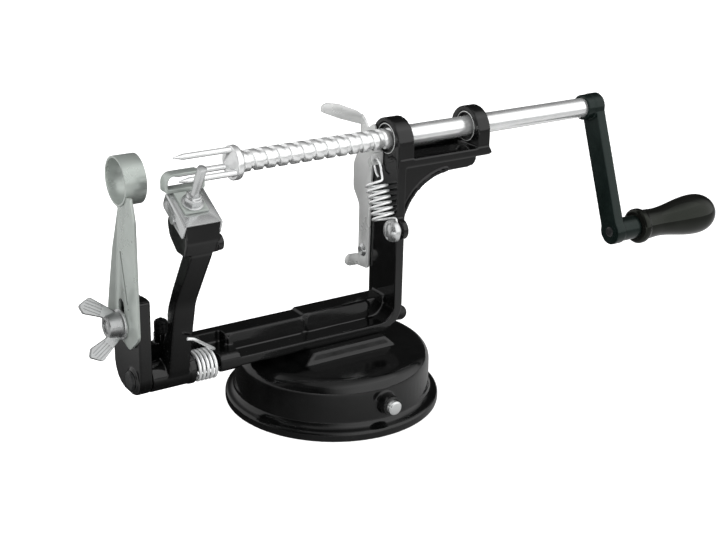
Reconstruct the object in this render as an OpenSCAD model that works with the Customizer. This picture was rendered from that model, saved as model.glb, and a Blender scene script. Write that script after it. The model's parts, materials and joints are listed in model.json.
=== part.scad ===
/* [Base] */
// Diameter over the foot rim of the dome
rim_d = 105; // [96:1:118]
// Height of the foot rim's straight edge
rim_h = 4.6; // [3:0.2:6]
// Height of the dome's flat top
dome_h = 27.5; // [26:0.5:32]
// Wall thickness of the dome
dome_wall = 3.4; // [2.6:0.2:4.4]
// Length of the seat that carries the beam
seat_l = 40; // [34:1:48]
// Width of the seat that carries the beam
seat_w = 33; // [28:1:38]
// Height of the clamp axle above the table
axle_z = 15.7; // [15:0.1:16.4]
// Diameter of the clamp axle
axle_d = 6.4; // [5.6:0.2:7]
// Thickness of the rubber suction pad
pad_t = 4.2; // [3.2:0.2:4.4]
// Throw of the cam on the clamp axle
cam_throw = 1.6; // [1.2:0.1:1.8]
// Radius of the cam on the clamp axle
cam_r = 5; // [4.8:0.1:5.4]
// Length of the clamp lever from axle to tip
clamp_l = 81; // [66:1:90]
// Angle of the clamp lever below level
clamp_drop = 5.8; // [2:0.2:6.2]
// Thickness of the clamp lever
clamp_t = 3; // [2:0.2:4]

/* [Frame] */
// Height of the beam's underside above the table
beam_z = 32.8; // [32:0.2:36]
// Thickness of the beam and upright flange
flange_t = 4.6; // [4:0.2:5.4]
// Width of the beam and upright flange
frame_w = 23.6; // [22:0.2:28]
// Front face of the upright
upright_x = 28.2; // [26:0.2:32]
// Height of the stiffening web above the beam's underside
web_h = 14.4; // [12:0.2:17]
// Near face of the stiffening web
web_y = 3; // [2.6:0.1:4]
// Thickness of the stiffening web
web_t = 4.8; // [4:0.2:6]
// Front face of the front post
post_x = -108; // [-114:1:-106]
// Thickness of the front post
post_t = 6.3; // [5:0.1:6.4]
// Width of the front post
post_w = 27.6; // [24:0.4:30]
// Height of the front post's top
post_top = 75; // [70:1:80]
// Length of the front bearing housing along the shaft
housing_l = 8.8; // [7:0.2:10]
// Outer radius of a bearing housing
housing_r = 11.5; // [10.8:0.1:12.5]
// Length of the rear bearing housing along the shaft
rear_l = 7.2; // [6:0.2:9]
// Rear face of the rear bearing housing
rear_x = 82.2; // [78:0.2:90]

/* [Feed shaft] */
// Height of the feed shaft above the table
shaft_z = 127; // [124:0.5:132]
// Diameter of the feed shaft
shaft_d = 10; // [9:0.2:10.6]
// Lead of the feed thread
thread_lead = 6.35; // [5.8:0.05:7]
// Width of the thread groove
groove_w = 2.2; // [2:0.1:2.6]
// Depth of the thread groove
groove_depth = 0.95; // [0.9:0.05:1.1]
// Front end of the thread, at the fork
thread_front = -50; // [-56:1:-44]
// Length of thread behind the lever's nose
thread_past = 11.2; // [10.8:0.1:11.4]
// Wall of a bearing bush
bush_wall = 2.4; // [1.8:0.1:2.8]
// Length of a fork tine
tine_l = 28; // [22:1:32]
// Diameter of a fork tine
tine_d = 2.8; // [2.2:0.1:3.2]
// Distance of a fork tine from the shaft's axis
tine_r = 6.2; // [5:0.1:6.4]

/* [Crank] */
// Front face of the crank arm
crank_x = 155.2; // [150:1:162]
// Thickness of the crank arm
crank_t = 5.6; // [4.4:0.1:6.4]
// Throw of the crank
crank_throw = 66.4; // [56:0.2:74]
// Turn of the crank arm from straight down, towards the near side
crank_turn = 21; // [0:1:40]
// Width of the crank arm
crank_w = 11.5; // [11:0.5:14]
// Length of the handle grip
grip_l = 55.6; // [48:0.2:66]
// Diameter of the grip at its widest
grip_d = 21.6; // [19:0.2:25]
// Diameter of the grip's collar
collar_d = 18.6; // [17:0.2:21]
// Diameter of the grip's neck
neck_d = 15.2; // [13:0.2:17]
// Diameter of the pin that the grip turns on
grip_pin_d = 5; // [4:0.2:6.6]

/* [Release lever] */
// Thickness of the release lever's sheet
lever_t = 1.2; // [1:0.1:1.3]
// Height of the lever's pivot
lever_pivot_z = 66; // [64:0.5:70]
// Distance of the lever's pivot from the middle plane
lever_pivot_y = 15.5; // [14.5:0.1:16]
// Length of the thumb tab
thumb_l = 23; // [18:1:26]
// Wire diameter of the release spring
release_wire = 1.2; // [0.9:0.1:1.3]
// Outer diameter of the release spring
release_od = 11.4; // [10.4:0.1:11.6]
// Distance between the coils of the release spring
release_step = 2.7; // [2.5:0.05:2.75]
// Height of the spring screw
spring_screw_z = 85; // [84:0.5:86]
// Head diameter of the spring screw
spring_screw_d = 11.5; // [9.5:0.5:11.5]

/* [Peeling arm] */
// Height of the arm's pivot rod
pivot_z = 35.5; // [34.6:0.1:37]
// Distance of the arm's pivot rod from the middle plane
pivot_y = -6; // [-7:0.1:-5.8]
// Diameter of the pivot rod
pivot_d = 6; // [5:0.2:7]
// Radius of the arm's hub
arm_hub_r = 7.1; // [6.2:0.1:7.3]
// Front face of the arm
arm_x = -94; // [-95:0.2:-93]
// Width of the arm along the pivot
arm_w = 10; // [8:0.2:11]
// Wire diameter of the arm spring
arm_wire = 1.5; // [1.2:0.1:1.5]
// Mean radius of the arm spring's coils
arm_spring_r = 6.7; // [6:0.1:6.8]
// Front face of the blade holder
holder_x = -98.2; // [-98.6:0.1:-97.8]
// Width of the blade holder
holder_w = 17.8; // [17:0.1:18.4]
// Sheet thickness of the blade holder and the peeling blade
sheet_t = 1; // [0.8:0.1:1.2]
// Height of the peeling blade's loop
loop_h = 8.1; // [7.4:0.1:10]

/* [Slicing blade] */
// Thickness of the slicing blade
slicer_t = 1.4; // [1:0.1:1.8]
// Height of the blade's stud
stud_z = 61; // [59:0.5:63]
// Diameter of the blade's stud
stud_d = 6; // [5:0.2:6.4]
// Inner radius of the coring ring
core_r = 10; // [9.6:0.1:11]
// Length of the coring ring
core_l = 10; // [6:0.5:10]

/* [Hidden] */

$fn = 64;
eps = 0.01;
run_gap = 0.05;
sheet_gap = 0.35;
body_gap = 0.3;
seat_gap = 0.1;
paint_black = "#161718";
bright_steel = "#c9cccd";
satin_steel = "#a7aaa8";

half_w = frame_w / 2;
rim_r = rim_d / 2;
dome_foot_r = rim_r - 4.8;
dome_top_r = rim_r - 5;
dome_edge_r = 6.5;
seat_ramp = 6.5;
axle_r = axle_d / 2;
axle_boss_y = rim_r - 1;
axle_near = axle_boss_y + 5;
near_sleeve = 2.4;
upright_back = upright_x + flange_t;
bearing_r = shaft_d / 2 + run_gap + bush_wall;
bush_r = bearing_r - run_gap;
front_bearing_back = upright_x + housing_l;
rear_bearing_front = rear_x - rear_l;
bracket_t = 4;
collar_rise = 0.6;
bracket_z = shaft_z - bush_r - collar_rise - 0.5 - bracket_t;
post_back = post_x + post_t;
web_top = beam_z + web_h;
lug_x = arm_x + 27;
lug_l = 10;
lug_top = pivot_z + 4.5;
lever_x = upright_x - sheet_gap - lever_t;
nose_x = lever_x + lever_t / 2;
thread_back = nose_x + thread_past;
crank_back = crank_x + crank_t;
pin_y = -crank_throw * sin(crank_turn);
pin_z = shaft_z - crank_throw * cos(crank_turn);
grip_x = crank_back + 12;
clamp_y = axle_boss_y + seat_gap;

// Corners of an outline, each [x, y, radius], with every round corner drawn as an arc
function unit2(v) = v / norm(v);
function corner_arc(a, b, c, r, n) =
    let (p = unit2(a - b), q = unit2(c - b), half = acos(max(-1, min(1, p * q))) / 2)
    let (reach = r / tan(half), centre = b + unit2(p + q) * r / sin(half))
    let (from = b + p * reach - centre, to = b + q * reach - centre)
    [for (i = [0:n]) let (m = from * (n - i) / n + to * i / n) centre + unit2(m) * r];
function rounded(pts, n = 6) =
    let (count = len(pts))
    [for (i = [0:count - 1])
        let (a = pts[(i + count - 1) % count], b = pts[i], c = pts[(i + 1) % count])
        each b[2] > 0
            ? corner_arc([a[0], a[1]], [b[0], b[1]], [c[0], c[1]], b[2], n)
            : [[b[0], b[1]]]];
function arc_points(centre, r, from, to, n) =
    [for (i = [0:n]) let (a = from + (to - from) * i / n) centre + r * [cos(a), sin(a)]];

// Rings of a tube swept along a path, turned no more than the path turns
function unit3(v) = v / norm(v);
function tangent(path, i) = unit3(path[min(i + 1, len(path) - 1)] - path[max(i - 1, 0)]);
function carried(side, along) = unit3(side - along * (side * along));
function sides_along(path, start) =
    [for (i = 0, s = carried(start, tangent(path, 0)); i < len(path);
        i = i + 1, s = i < len(path) ? carried(s, tangent(path, i)) : s) s];
function tube_points(path, r, sides, start) =
    let (across = sides_along(path, start))
    [for (i = [0:len(path) - 1]) let (s = across[i], o = cross(tangent(path, i), s))
        for (k = [0:sides - 1]) path[i] + r * (s * cos(360 * k / sides) + o * sin(360 * k / sides))];
function tube_faces(rings, sides) = concat(
    [for (k = [1:sides - 2]) [0, k, k + 1]],
    [for (i = [0:rings - 2]) for (k = [0:sides - 1]) let (a = i * sides + k, b = i * sides + (k + 1) % sides)
        each [[a, a + sides, b], [b, a + sides, b + sides]]],
    [for (k = [1:sides - 2]) let (o = (rings - 1) * sides) [o, o + k + 1, o + k]]);
module tube(path, d, start) {
    polyhedron(tube_points(path, d / 2, 6, start), tube_faces(len(path), 6), convexity = 10);
}
// Least distance between stretches of wire that are not neighbours along the path
function least_gap(path, d, apart) = min([for (i = [0:len(path) - 1 - apart])
    min([for (j = [i + apart:len(path) - 1]) norm(path[i] - path[j])])]) - d;

module rod_x(from, to, r, y, z) {
    translate([from, y, z]) rotate([0, 90, 0]) cylinder(h = to - from, r = r);
}
module rod_y(from, to, r, x, z) {
    translate([x, from, z]) rotate([-90, 0, 0]) cylinder(h = to - from, r = r);
}
// A flat outline in Y and Z, thickened along X
module plate_x(from, to) {
    translate([from, 0, 0]) rotate([90, 0, 90]) linear_extrude(to - from) children();
}
// A flat outline in X and Z, thickened along Y
module plate_y(from, to) {
    translate([0, to, 0]) rotate([90, 0, 0]) linear_extrude(to - from) children();
}
// A flat outline in X and Y, thickened along Z
module plate_z(from, to) {
    translate([0, 0, from]) linear_extrude(to - from) children();
}
// A turned outline in radius and length, lying along X
module turned_x(x, y, z) {
    translate([x, y, z]) rotate([0, 90, 0]) rotate_extrude() children();
}

// Base: dome, seat screws, suction pad, clamp
stirrup_gap = 0.5;
stirrup_top = axle_z - cam_throw + cam_r + stirrup_gap;
stirrup_bottom = axle_z - cam_throw - cam_r - 0.9;
stirrup_bar = 2.4;
stirrup_x = cam_r + cam_throw + 0.5;
stirrup_y = 4;
seat_screw_r = 2.2;
seat_head_r = seat_screw_r * 1.9;
seat_screw_x = stirrup_x + stirrup_bar + seat_head_r + 1;
seat_screw_y = -4.5;
pad_lift = 3;
pocket_top = stirrup_top + stirrup_bar + pad_lift + 0.8;
pocket_gap = 1;
cavity_r = dome_top_r - dome_wall;
cavity_top = dome_h - dome_wall - 0.6;

module dome_outline() {
    polygon(concat(
        [[cavity_r, 0]],
        rounded([[rim_r - 0.5, 0, 0], [rim_r, 0.5, 0], [rim_r, rim_h, 1.6], [dome_foot_r, rim_h + 1, 3.2],
            [dome_top_r, dome_h, dome_edge_r], [0, dome_h, 0], [0, cavity_top, 0],
            [cavity_r, cavity_top, 2.5]])));
}
module seat_block() {
    intersection() {
        plate_y(-seat_w, seat_w) polygon([[-seat_l / 2 - seat_ramp, dome_h - 1],
            [seat_l / 2 + seat_ramp, dome_h - 1], [seat_l / 2, beam_z], [-seat_l / 2, beam_z]]);
        plate_x(-rim_r, rim_r) polygon([[-seat_w / 2 - 1.5, dome_h - 1], [seat_w / 2 + 1.5, dome_h - 1],
            [seat_w / 2, beam_z], [-seat_w / 2, beam_z]]);
    }
}
module base_dome() {
    color(paint_black) difference() {
        union() {
            rotate_extrude($fn = 128) dome_outline();
            seat_block();
            rod_y(-axle_boss_y - near_sleeve, -cavity_r + 1, axle_r + 1.6, 0, axle_z);
            rod_y(cavity_r - 1, axle_boss_y, axle_r + 1.6, 0, axle_z);
        }
        rod_y(-axle_near, axle_near, axle_r + run_gap, 0, axle_z);
        translate([-stirrup_x - stirrup_bar - pocket_gap, -stirrup_y - pocket_gap, cavity_top - 1])
            cube([2 * (stirrup_x + stirrup_bar + pocket_gap), 2 * (stirrup_y + pocket_gap),
                pocket_top - cavity_top + 1]);
        for (side = [-1, 1])
            translate([side * seat_screw_x, seat_screw_y, cavity_top - 1])
                cylinder(h = beam_z - cavity_top + 2, r = seat_screw_r + run_gap);
    }
}
module seat_screws() {
    color(satin_steel) for (side = [-1, 1]) translate([side * seat_screw_x, seat_screw_y, 0]) {
        translate([0, 0, cavity_top - 3]) cylinder(h = 3, r = seat_head_r);
        translate([0, 0, cavity_top - eps])
            cylinder(h = beam_z + flange_t - 1.2 - cavity_top, r = seat_screw_r);
    }
}
module suction_pad() {
    pad_r = cavity_r - 0.6;
    color("#202122") rotate_extrude($fn = 128) polygon([[0, 0], [pad_r - 0.3, 0], [pad_r, 0.4],
        [pad_r, pad_t * 0.5], [pad_r - 4, pad_t * 0.7], [pad_r * 0.45, pad_t], [0, pad_t]]);
}
module pad_stirrup() {
    color(satin_steel) {
        plate_y(-stirrup_y, stirrup_y) difference() {
            translate([-stirrup_x - stirrup_bar, pad_t + seat_gap])
                square([2 * (stirrup_x + stirrup_bar), stirrup_top + stirrup_bar - pad_t - seat_gap]);
            translate([-stirrup_x, stirrup_bottom])
                square([2 * stirrup_x, stirrup_top - stirrup_bottom]);
        }
        translate([0, 0, pad_t + seat_gap]) cylinder(h = 1.4, r = stirrup_x + stirrup_bar + 3);
    }
}
module clamp_axle() {
    color(bright_steel) {
        rod_y(-axle_near + 0.6, clamp_y + clamp_t + eps, axle_r, 0, axle_z);
        translate([0, -axle_near + 0.6 + eps, axle_z]) rotate([90, 0, 0])
            cylinder(h = 0.6, r1 = axle_r, r2 = axle_r - 0.6);
        rod_y(-stirrup_y - 1, stirrup_y + 1, cam_r, 0, axle_z - cam_throw);
    }
}
module along_clamp() {
    translate([0, 0, axle_z]) rotate([0, clamp_drop, 0]) children();
}
tip_l = 27;
tip_w = 8.4;
socket_l = 12;
strap_half = 3;
strap_from = 20;
clamp_eye = 7;
module clamp_lever() {
    strap_end = clamp_l - tip_l + socket_l;
    color(satin_steel) difference() {
        along_clamp() plate_y(clamp_y, clamp_y + clamp_t) polygon(rounded([
            [-clamp_eye, -clamp_eye, 6], [clamp_eye - 3, -clamp_eye, 3], [strap_from, -strap_half, 8],
            [strap_end, -strap_half, 0], [strap_end, strap_half, 0], [strap_from, strap_half, 8],
            [clamp_eye - 3, clamp_eye, 3], [-clamp_eye, clamp_eye, 6]]));
        rod_y(clamp_y - 1, clamp_y + clamp_t + 1, axle_r + seat_gap / 2, 0, axle_z);
    }
}
module clamp_tip() {
    socket_end = clamp_l - tip_l + socket_l + seat_gap;
    mid = clamp_y + clamp_t / 2;
    color("#121314") along_clamp() difference() {
        union() {
            translate([clamp_l - tip_l, mid, 0]) rotate([0, 90, 0])
                cylinder(h = tip_l - tip_w / 2, r = tip_w / 2);
            translate([clamp_l - tip_w / 2, mid, 0]) sphere(r = tip_w / 2);
        }
        plate_y(clamp_y - seat_gap, clamp_y + clamp_t + seat_gap)
            translate([clamp_l - tip_l - 1, -strap_half - seat_gap])
                square([socket_end - clamp_l + tip_l + 1, 2 * (strap_half + seat_gap)]);
    }
}
module clamp_rivet() {
    color(satin_steel) translate([0, clamp_y + clamp_t + seat_gap, axle_z]) rotate([-90, 0, 0])
        rotate_extrude() polygon([[0, 0], [axle_r + 1.6, 0], [axle_r + 1.2, 1.1],
            [axle_r - 0.8, 1.9], [0, 2.1]]);
}

// Frame casting with its two bearings
gusset_r = 27;
gusset_y = -9;
gusset_t = 5;
screw_lug_r = 5;
screw_lug_t = 3;
ear_r = 6;
rivet_r = 2;
spring_screw_r = 2.2;
spring_screw_y = -half_w - 1;
stop_x = arm_x + 5.4;
stop_r = 3.2;
web_near = web_y - 5.3;
panel_rise = 0.7;
panel_edge = 0.7;
groove_x = -17.4;
groove_drop = 1;

module l_band() {
    plate_y(-half_w, half_w) polygon(rounded([[lug_x + lug_l, beam_z, 0], [upright_back, beam_z, 12],
        [upright_back, bracket_z, 0], [upright_x, bracket_z, 0],
        [upright_x, beam_z + flange_t, 12 - flange_t], [lug_x + lug_l, beam_z + flange_t, 0]]));
}
module web_outline(from) {
    polygon([[from, beam_z], [upright_x + 1, beam_z], [upright_x + 1, web_top], [groove_x, web_top],
        [groove_x - 1.5, web_top - groove_drop], [from, web_top - groove_drop]]);
}
// The web is thin behind the arm's hub and spring, and thick with raised panels from the lug on
module web() {
    panel_low = beam_z + flange_t + panel_edge;
    panel_top = web_top - panel_edge;
    plate_y(web_y, web_y + web_t) web_outline(post_x + 1);
    plate_y(web_near, web_y + 1) web_outline(lug_x + lug_l - 3);
    for (panel = [[lug_x + lug_l - 1.5, groove_x - 1, panel_top - groove_drop],
        [groove_x + 1, upright_x - 9.5, panel_top]])
        plate_y(web_near - panel_rise, web_near + 1) polygon(rounded([[panel[0], panel_low, 1.4],
            [panel[1], panel_low, 1.4], [panel[1], panel[2], 2], [panel[0], panel[2], 2]]));
}
module front_post() {
    far = post_w / 2 + 0.35;
    near = far - post_w;
    foot = pivot_z - arm_hub_r - 0.5;
    plate_x(post_x, post_back) polygon(rounded([[near, foot, 9], [far, foot, 11], [far, post_top - 3, 4],
        [near + 5, post_top, 2], [near, post_top, 1.5]]));
    rod_x(post_x - 0.9, post_x + 1, pivot_d / 2 + 2.4, pivot_y, pivot_z);
}
module beam_lug() {
    plate_x(lug_x, lug_x + lug_l) polygon(rounded([[-half_w, beam_z - 1.4, 2], [web_y + 1, beam_z - 1.4, 0],
        [web_y + 1, lug_top, 0], [-half_w, lug_top, 3]]));
}
module housing(from, to) {
    plate_x(from, to) {
        translate([0, shaft_z - 1.5]) circle(r = housing_r);
        translate([-housing_r, bracket_z]) square([2 * housing_r, shaft_z - 1.5 - bracket_z]);
    }
}
module bracket() {
    plate_y(-half_w, half_w) polygon([[upright_x + 1, bracket_z], [rear_x, bracket_z],
        [rear_x + 1.6, bracket_z + 0.6], [rear_x + 1.4, bracket_z + 1.6],
        [rear_x, bracket_z + bracket_t], [upright_x + 1, bracket_z + bracket_t]]);
    plate_y(half_w - 4, half_w) translate([upright_back, bracket_z + 1])
        square([rear_bearing_front - upright_back + 1, bracket_t + 2]);
    arc_c = [upright_back + gusset_r, bracket_z - 5.8 - gusset_r];
    plate_y(gusset_y, gusset_y + gusset_t) polygon(rounded(concat([[upright_back - 1, arc_c[1], 0]],
        [for (p = arc_points(arc_c, gusset_r, 180, 90, 14)) [p[0], p[1], 0]],
        [[rear_bearing_front + 0.6, bracket_z - 5.4, 4], [rear_bearing_front + 1.6, bracket_z + 1, 0],
            [upright_back - 1, bracket_z + 1, 0]])));
    plate_y(gusset_y - 1, gusset_y + 1) polygon(concat(arc_points(arc_c, gusset_r, 172, 92, 12),
        arc_points(arc_c, gusset_r + 1.8, 92, 172, 12)));
}
module frame_casting() {
    color(paint_black) difference() {
        union() {
            l_band();
            web();
            front_post();
            beam_lug();
            housing(upright_x, front_bearing_back);
            housing(rear_bearing_front, rear_x);
            bracket();
            rod_x(upright_x, upright_x + screw_lug_t, screw_lug_r, spring_screw_y, spring_screw_z);
            rod_x(upright_x, upright_back, ear_r, lever_pivot_y, lever_pivot_z);
            plate_x(upright_x, upright_back) translate([0, lever_pivot_z - ear_r])
                square([lever_pivot_y, 2 * ear_r]);
            translate([stop_x, web_y + web_t / 2, web_top - 2]) cylinder(h = 5.5, r = stop_r + 0.3);
        }
        rod_x(upright_x - 1, front_bearing_back + 1, bearing_r, 0, shaft_z);
        rod_x(rear_bearing_front - 1, rear_x + 1, bearing_r, 0, shaft_z);
        rod_x(post_x - 2, post_back + 1, pivot_d / 2 + run_gap, pivot_y, pivot_z);
        rod_x(lug_x - 1, lug_x + lug_l + 1, pivot_d / 2 + run_gap, pivot_y, pivot_z);
        rod_x(post_x - 2, post_back + 1, stud_d / 2 + run_gap, 0, stud_z);
        rod_x(upright_x - 1, upright_back + 1, spring_screw_r + run_gap, spring_screw_y, spring_screw_z);
        rod_x(upright_x - 1, upright_back + 1, rivet_r + run_gap, lever_pivot_y, lever_pivot_z);
        translate([stop_x, web_y + web_t / 2, web_top - 6]) cylinder(h = 10, r = 1.6 + run_gap);
        for (side = [-1, 1])
            translate([side * seat_screw_x, seat_screw_y, beam_z - 1])
                cylinder(h = flange_t, r = seat_screw_r + run_gap);
    }
}
module stop_screw() {
    head_z = web_top + 3.5 + seat_gap;
    color("#1b1c1d") translate([stop_x, web_y + web_t / 2, 0]) {
        translate([0, 0, head_z]) rotate_extrude() polygon(rounded([[0, 0, 0], [stop_r, 0, 0.4],
            [stop_r, 5.4, 1.8], [0, 7, 0]]));
        translate([0, 0, web_top - 5]) cylinder(h = head_z - web_top + 5 + eps, r = 1.6);
    }
}

// Bearings, shaft, fork, crank
bush_rim = 0.95;
recess = 1.6;
collar_t = 1.2;
module bush(from, to) {
    color("#b8bbba") difference() {
        union() {
            rod_x(from, to + body_gap + collar_t, bush_r, 0, shaft_z);
            rod_x(to + body_gap, to + body_gap + collar_t, bush_r + collar_rise, 0, shaft_z);
        }
        rod_x(from - 1, to + 5, shaft_d / 2 + run_gap, 0, shaft_z);
        rod_x(from - 1, from + recess, bush_r - bush_rim, 0, shaft_z);
    }
}
module front_bush() {
    bush(upright_x + 0.2, front_bearing_back);
}
module rear_bush() {
    bush(rear_bearing_front + 0.2, rear_x);
}
thread_sides = 14;
thread_steps = 16;
groove_points = 5;
groove_angle = 360 * groove_w / thread_lead;
flank_angle = groove_angle * 0.12;
floor_angle = groove_angle - 2 * flank_angle;
// Section of the thread as [radius, angle]: a round land with one flat-floored notch
function thread_section(r, depth) = concat(
    [for (i = [0:thread_sides - groove_points - 1])
        [r, groove_angle / 2 + (360 - groove_angle) * i / (thread_sides - groove_points - 1)]],
    [for (i = [0:groove_points - 1])
        [r - depth, floor_angle * (i / (groove_points - 1) - 0.5)]]);
module thread() {
    section = thread_section(shaft_d / 2 - 0.02, groove_depth);
    rings = round(thread_steps * (thread_back - thread_front) / thread_lead);
    // Each ring turns with the lead, so that the groove meets the lever's nose on the far side
    points = [for (j = [0:rings]) let (x = thread_front + (thread_back - thread_front) * j / rings)
        for (p = section) let (a = p[1] + 360 * (x - nose_x) / thread_lead)
            [x, p[0] * cos(a), shaft_z + p[0] * sin(a)]];
    polyhedron(points, tube_faces(rings + 1, thread_sides), convexity = 10);
}
module feed_shaft() {
    color("#d5d8da") {
        thread();
        rod_x(thread_back - 0.8, crank_x - seat_gap, shaft_d / 2, 0, shaft_z);
        rod_x(crank_x - seat_gap - eps, crank_back + 0.4, shaft_d / 2 - 1.2, 0, shaft_z);
        rod_x(thread_front - 3, thread_front + 3, shaft_d / 2 - 1.8, 0, shaft_z);
    }
}
fork_r = tine_r + tine_d / 2 + 0.4;
module apple_fork() {
    color(bright_steel) {
        difference() {
            turned_x(thread_front - 5, 0, shaft_z) polygon(rounded([[0, 0, 0], [fork_r, 0, 0.6],
                [fork_r, 3, 1.2], [shaft_d / 2 + 0.8, 5 - seat_gap, 0], [0, 5 - seat_gap, 0]]));
            rod_x(thread_front - 3.2, thread_front + 1, shaft_d / 2 - 1.8 + run_gap, 0, shaft_z);
        }
        for (turn = [90, 210, 330])
            translate([0, tine_r * cos(turn), shaft_z + tine_r * sin(turn)]) {
                rod_x(thread_front - 5 - tine_l + 5, thread_front - 4.5, tine_d / 2, 0, 0);
                translate([thread_front - tine_l, 0, 0]) rotate([0, -90, 0])
                    cylinder(h = 5, r1 = tine_d / 2, r2 = 0.3);
            }
    }
}
crank_boss_l = 5;
module crank_arm() {
    eye_r = crank_w / 2 + 1;
    pin_r = crank_w / 2 + 1.05;
    color("#15211d") difference() {
        union() {
            translate([0, 0, shaft_z]) rotate([-crank_turn, 0, 0]) plate_x(crank_x, crank_back) {
                circle(r = eye_r);
                translate([0, -crank_throw]) circle(r = pin_r);
                translate([-crank_w / 2, -crank_throw]) square([crank_w, crank_throw]);
            }
            rod_x(crank_x - crank_boss_l, crank_x + 1, eye_r - 0.25, 0, shaft_z);
            rod_x(crank_x + 1, grip_x - body_gap, pin_r - 0.6, pin_y, pin_z);
        }
        rod_x(crank_x - crank_boss_l - 1, crank_x, shaft_d / 2 + run_gap, 0, shaft_z);
        rod_x(crank_x - 1, crank_back + 1, shaft_d / 2 - 1.2 + run_gap, 0, shaft_z);
        rod_x(crank_x - 1, grip_x + 1, grip_pin_d / 2 + run_gap, pin_y, pin_z);
    }
}
grip_bore_end = grip_x + grip_l - 8;
module grip_pin() {
    color(bright_steel) {
        rod_x(crank_x - eps, grip_bore_end - 0.6, grip_pin_d / 2, pin_y, pin_z);
        turned_x(crank_x - 0.9, pin_y, pin_z) polygon(rounded([[0, 0, 0], [grip_pin_d / 2 - 0.4, 0.1, 0.8],
            [grip_pin_d / 2, 0.9, 0], [0, 0.9, 0]]));
    }
}
// Grip profile: collar, then a waist that swells smoothly to the far end
grip_waist = 0.24;
grip_bulge = 0.76;
function grip_swell(t) = 0.5 - 0.5 * cos(180 * (t - grip_waist) / (grip_bulge - grip_waist));
function grip_radius(t) = t < grip_bulge
    ? neck_d / 2 + (grip_d - neck_d) / 2 * grip_swell(t)
    : grip_d / 2 * sqrt(max(0, 1 - pow((t - grip_bulge) / (1 - grip_bulge) * 0.96, 2.2)));
module handle_grip() {
    collar_l = 3.4;
    color("#17191a") difference() {
        turned_x(grip_x, pin_y, pin_z) polygon(concat([[0, 0]],
            rounded([[neck_d / 2, 0, 0], [collar_d / 2, 0.4, 1.4], [collar_d / 2, collar_l, 1.4],
                [neck_d / 2 + 0.6, collar_l + 1.6, 2], [neck_d / 2, grip_l * grip_waist, 0]], 4),
            [for (i = [1:20]) let (t = grip_waist + (1 - grip_waist) * i / 20) [grip_radius(t), grip_l * t]],
            [[0, grip_l]]));
        rod_x(grip_x - 1, grip_bore_end, grip_pin_d / 2 + run_gap, pin_y, pin_z);
    }
}

// Release lever with its spring
nose_r = shaft_d / 2 - groove_depth + body_gap;
lever_edge_y = half_w - 1.7;
lever_far_y = lever_pivot_y + 4;
hook_y = 1.7;
hook_z = shaft_z - 10;
release_r = (release_od - release_wire) / 2;
spring_x = upright_x - release_od / 2 - body_gap - 0.1;
release_ring = release_r * 0.86;
ring_shift = 1.1;
ring_neck = 2.3;
ring_back = 2.1;
ring_turn = -14;
ring_x = spring_x + ring_back;
hook_hole_r = release_wire + 0.3;
ear_reach = 3;
// Where the spring's top ring hangs, and the run of its axis down to the screw
ring_top = [hook_y, hook_z];
spring_run = unit2([spring_screw_y, spring_screw_z] - ring_top);
coil_top = ring_top + spring_run * (2 * release_ring + ring_neck)
    - [spring_run[1], -spring_run[0]] * ring_shift;
screw_at = [spring_screw_y, spring_screw_z] - coil_top;
screw_drop = screw_at * spring_run;
screw_side = screw_at * [spring_run[1], -spring_run[0]];
function spring_point(a, b, c) = [spring_x + a, coil_top[0] + b * spring_run[1] + c * spring_run[0],
    coil_top[1] - b * spring_run[0] + c * spring_run[1]];
release_from = 110;
release_to = 360 * 7;
screw_hook_r = spring_screw_r + release_wire / 2 + 0.4;
hook_a = upright_x - 1.1 - spring_x;
coil_drop = release_step * (release_to - release_from) / 360;
function around_screw(p, share) = spring_point(hook_a, screw_side + share * screw_hook_r * cos(p),
    screw_drop + share * screw_hook_r * sin(p));
release_path = concat(
    [for (p = [-150:30:120]) let (out = release_ring * sin(p))
        spring_point(ring_back + out * sin(ring_turn), ring_shift + out * cos(ring_turn),
            -ring_neck - release_ring * (1 + cos(p)))],
    [spring_point(0.5, release_r + 0.2, -0.7)],
    [for (a = [release_from:45:release_to]) spring_point(release_r * cos(a), release_r * sin(a),
        release_step * (a - release_from) / 360)],
    [spring_point(hook_a - 0.1, release_r * 0.55, coil_drop + 0.5), around_screw(-60, 1.2)],
    [for (p = [-30:30:240]) around_screw(p, 1)]);

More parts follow.
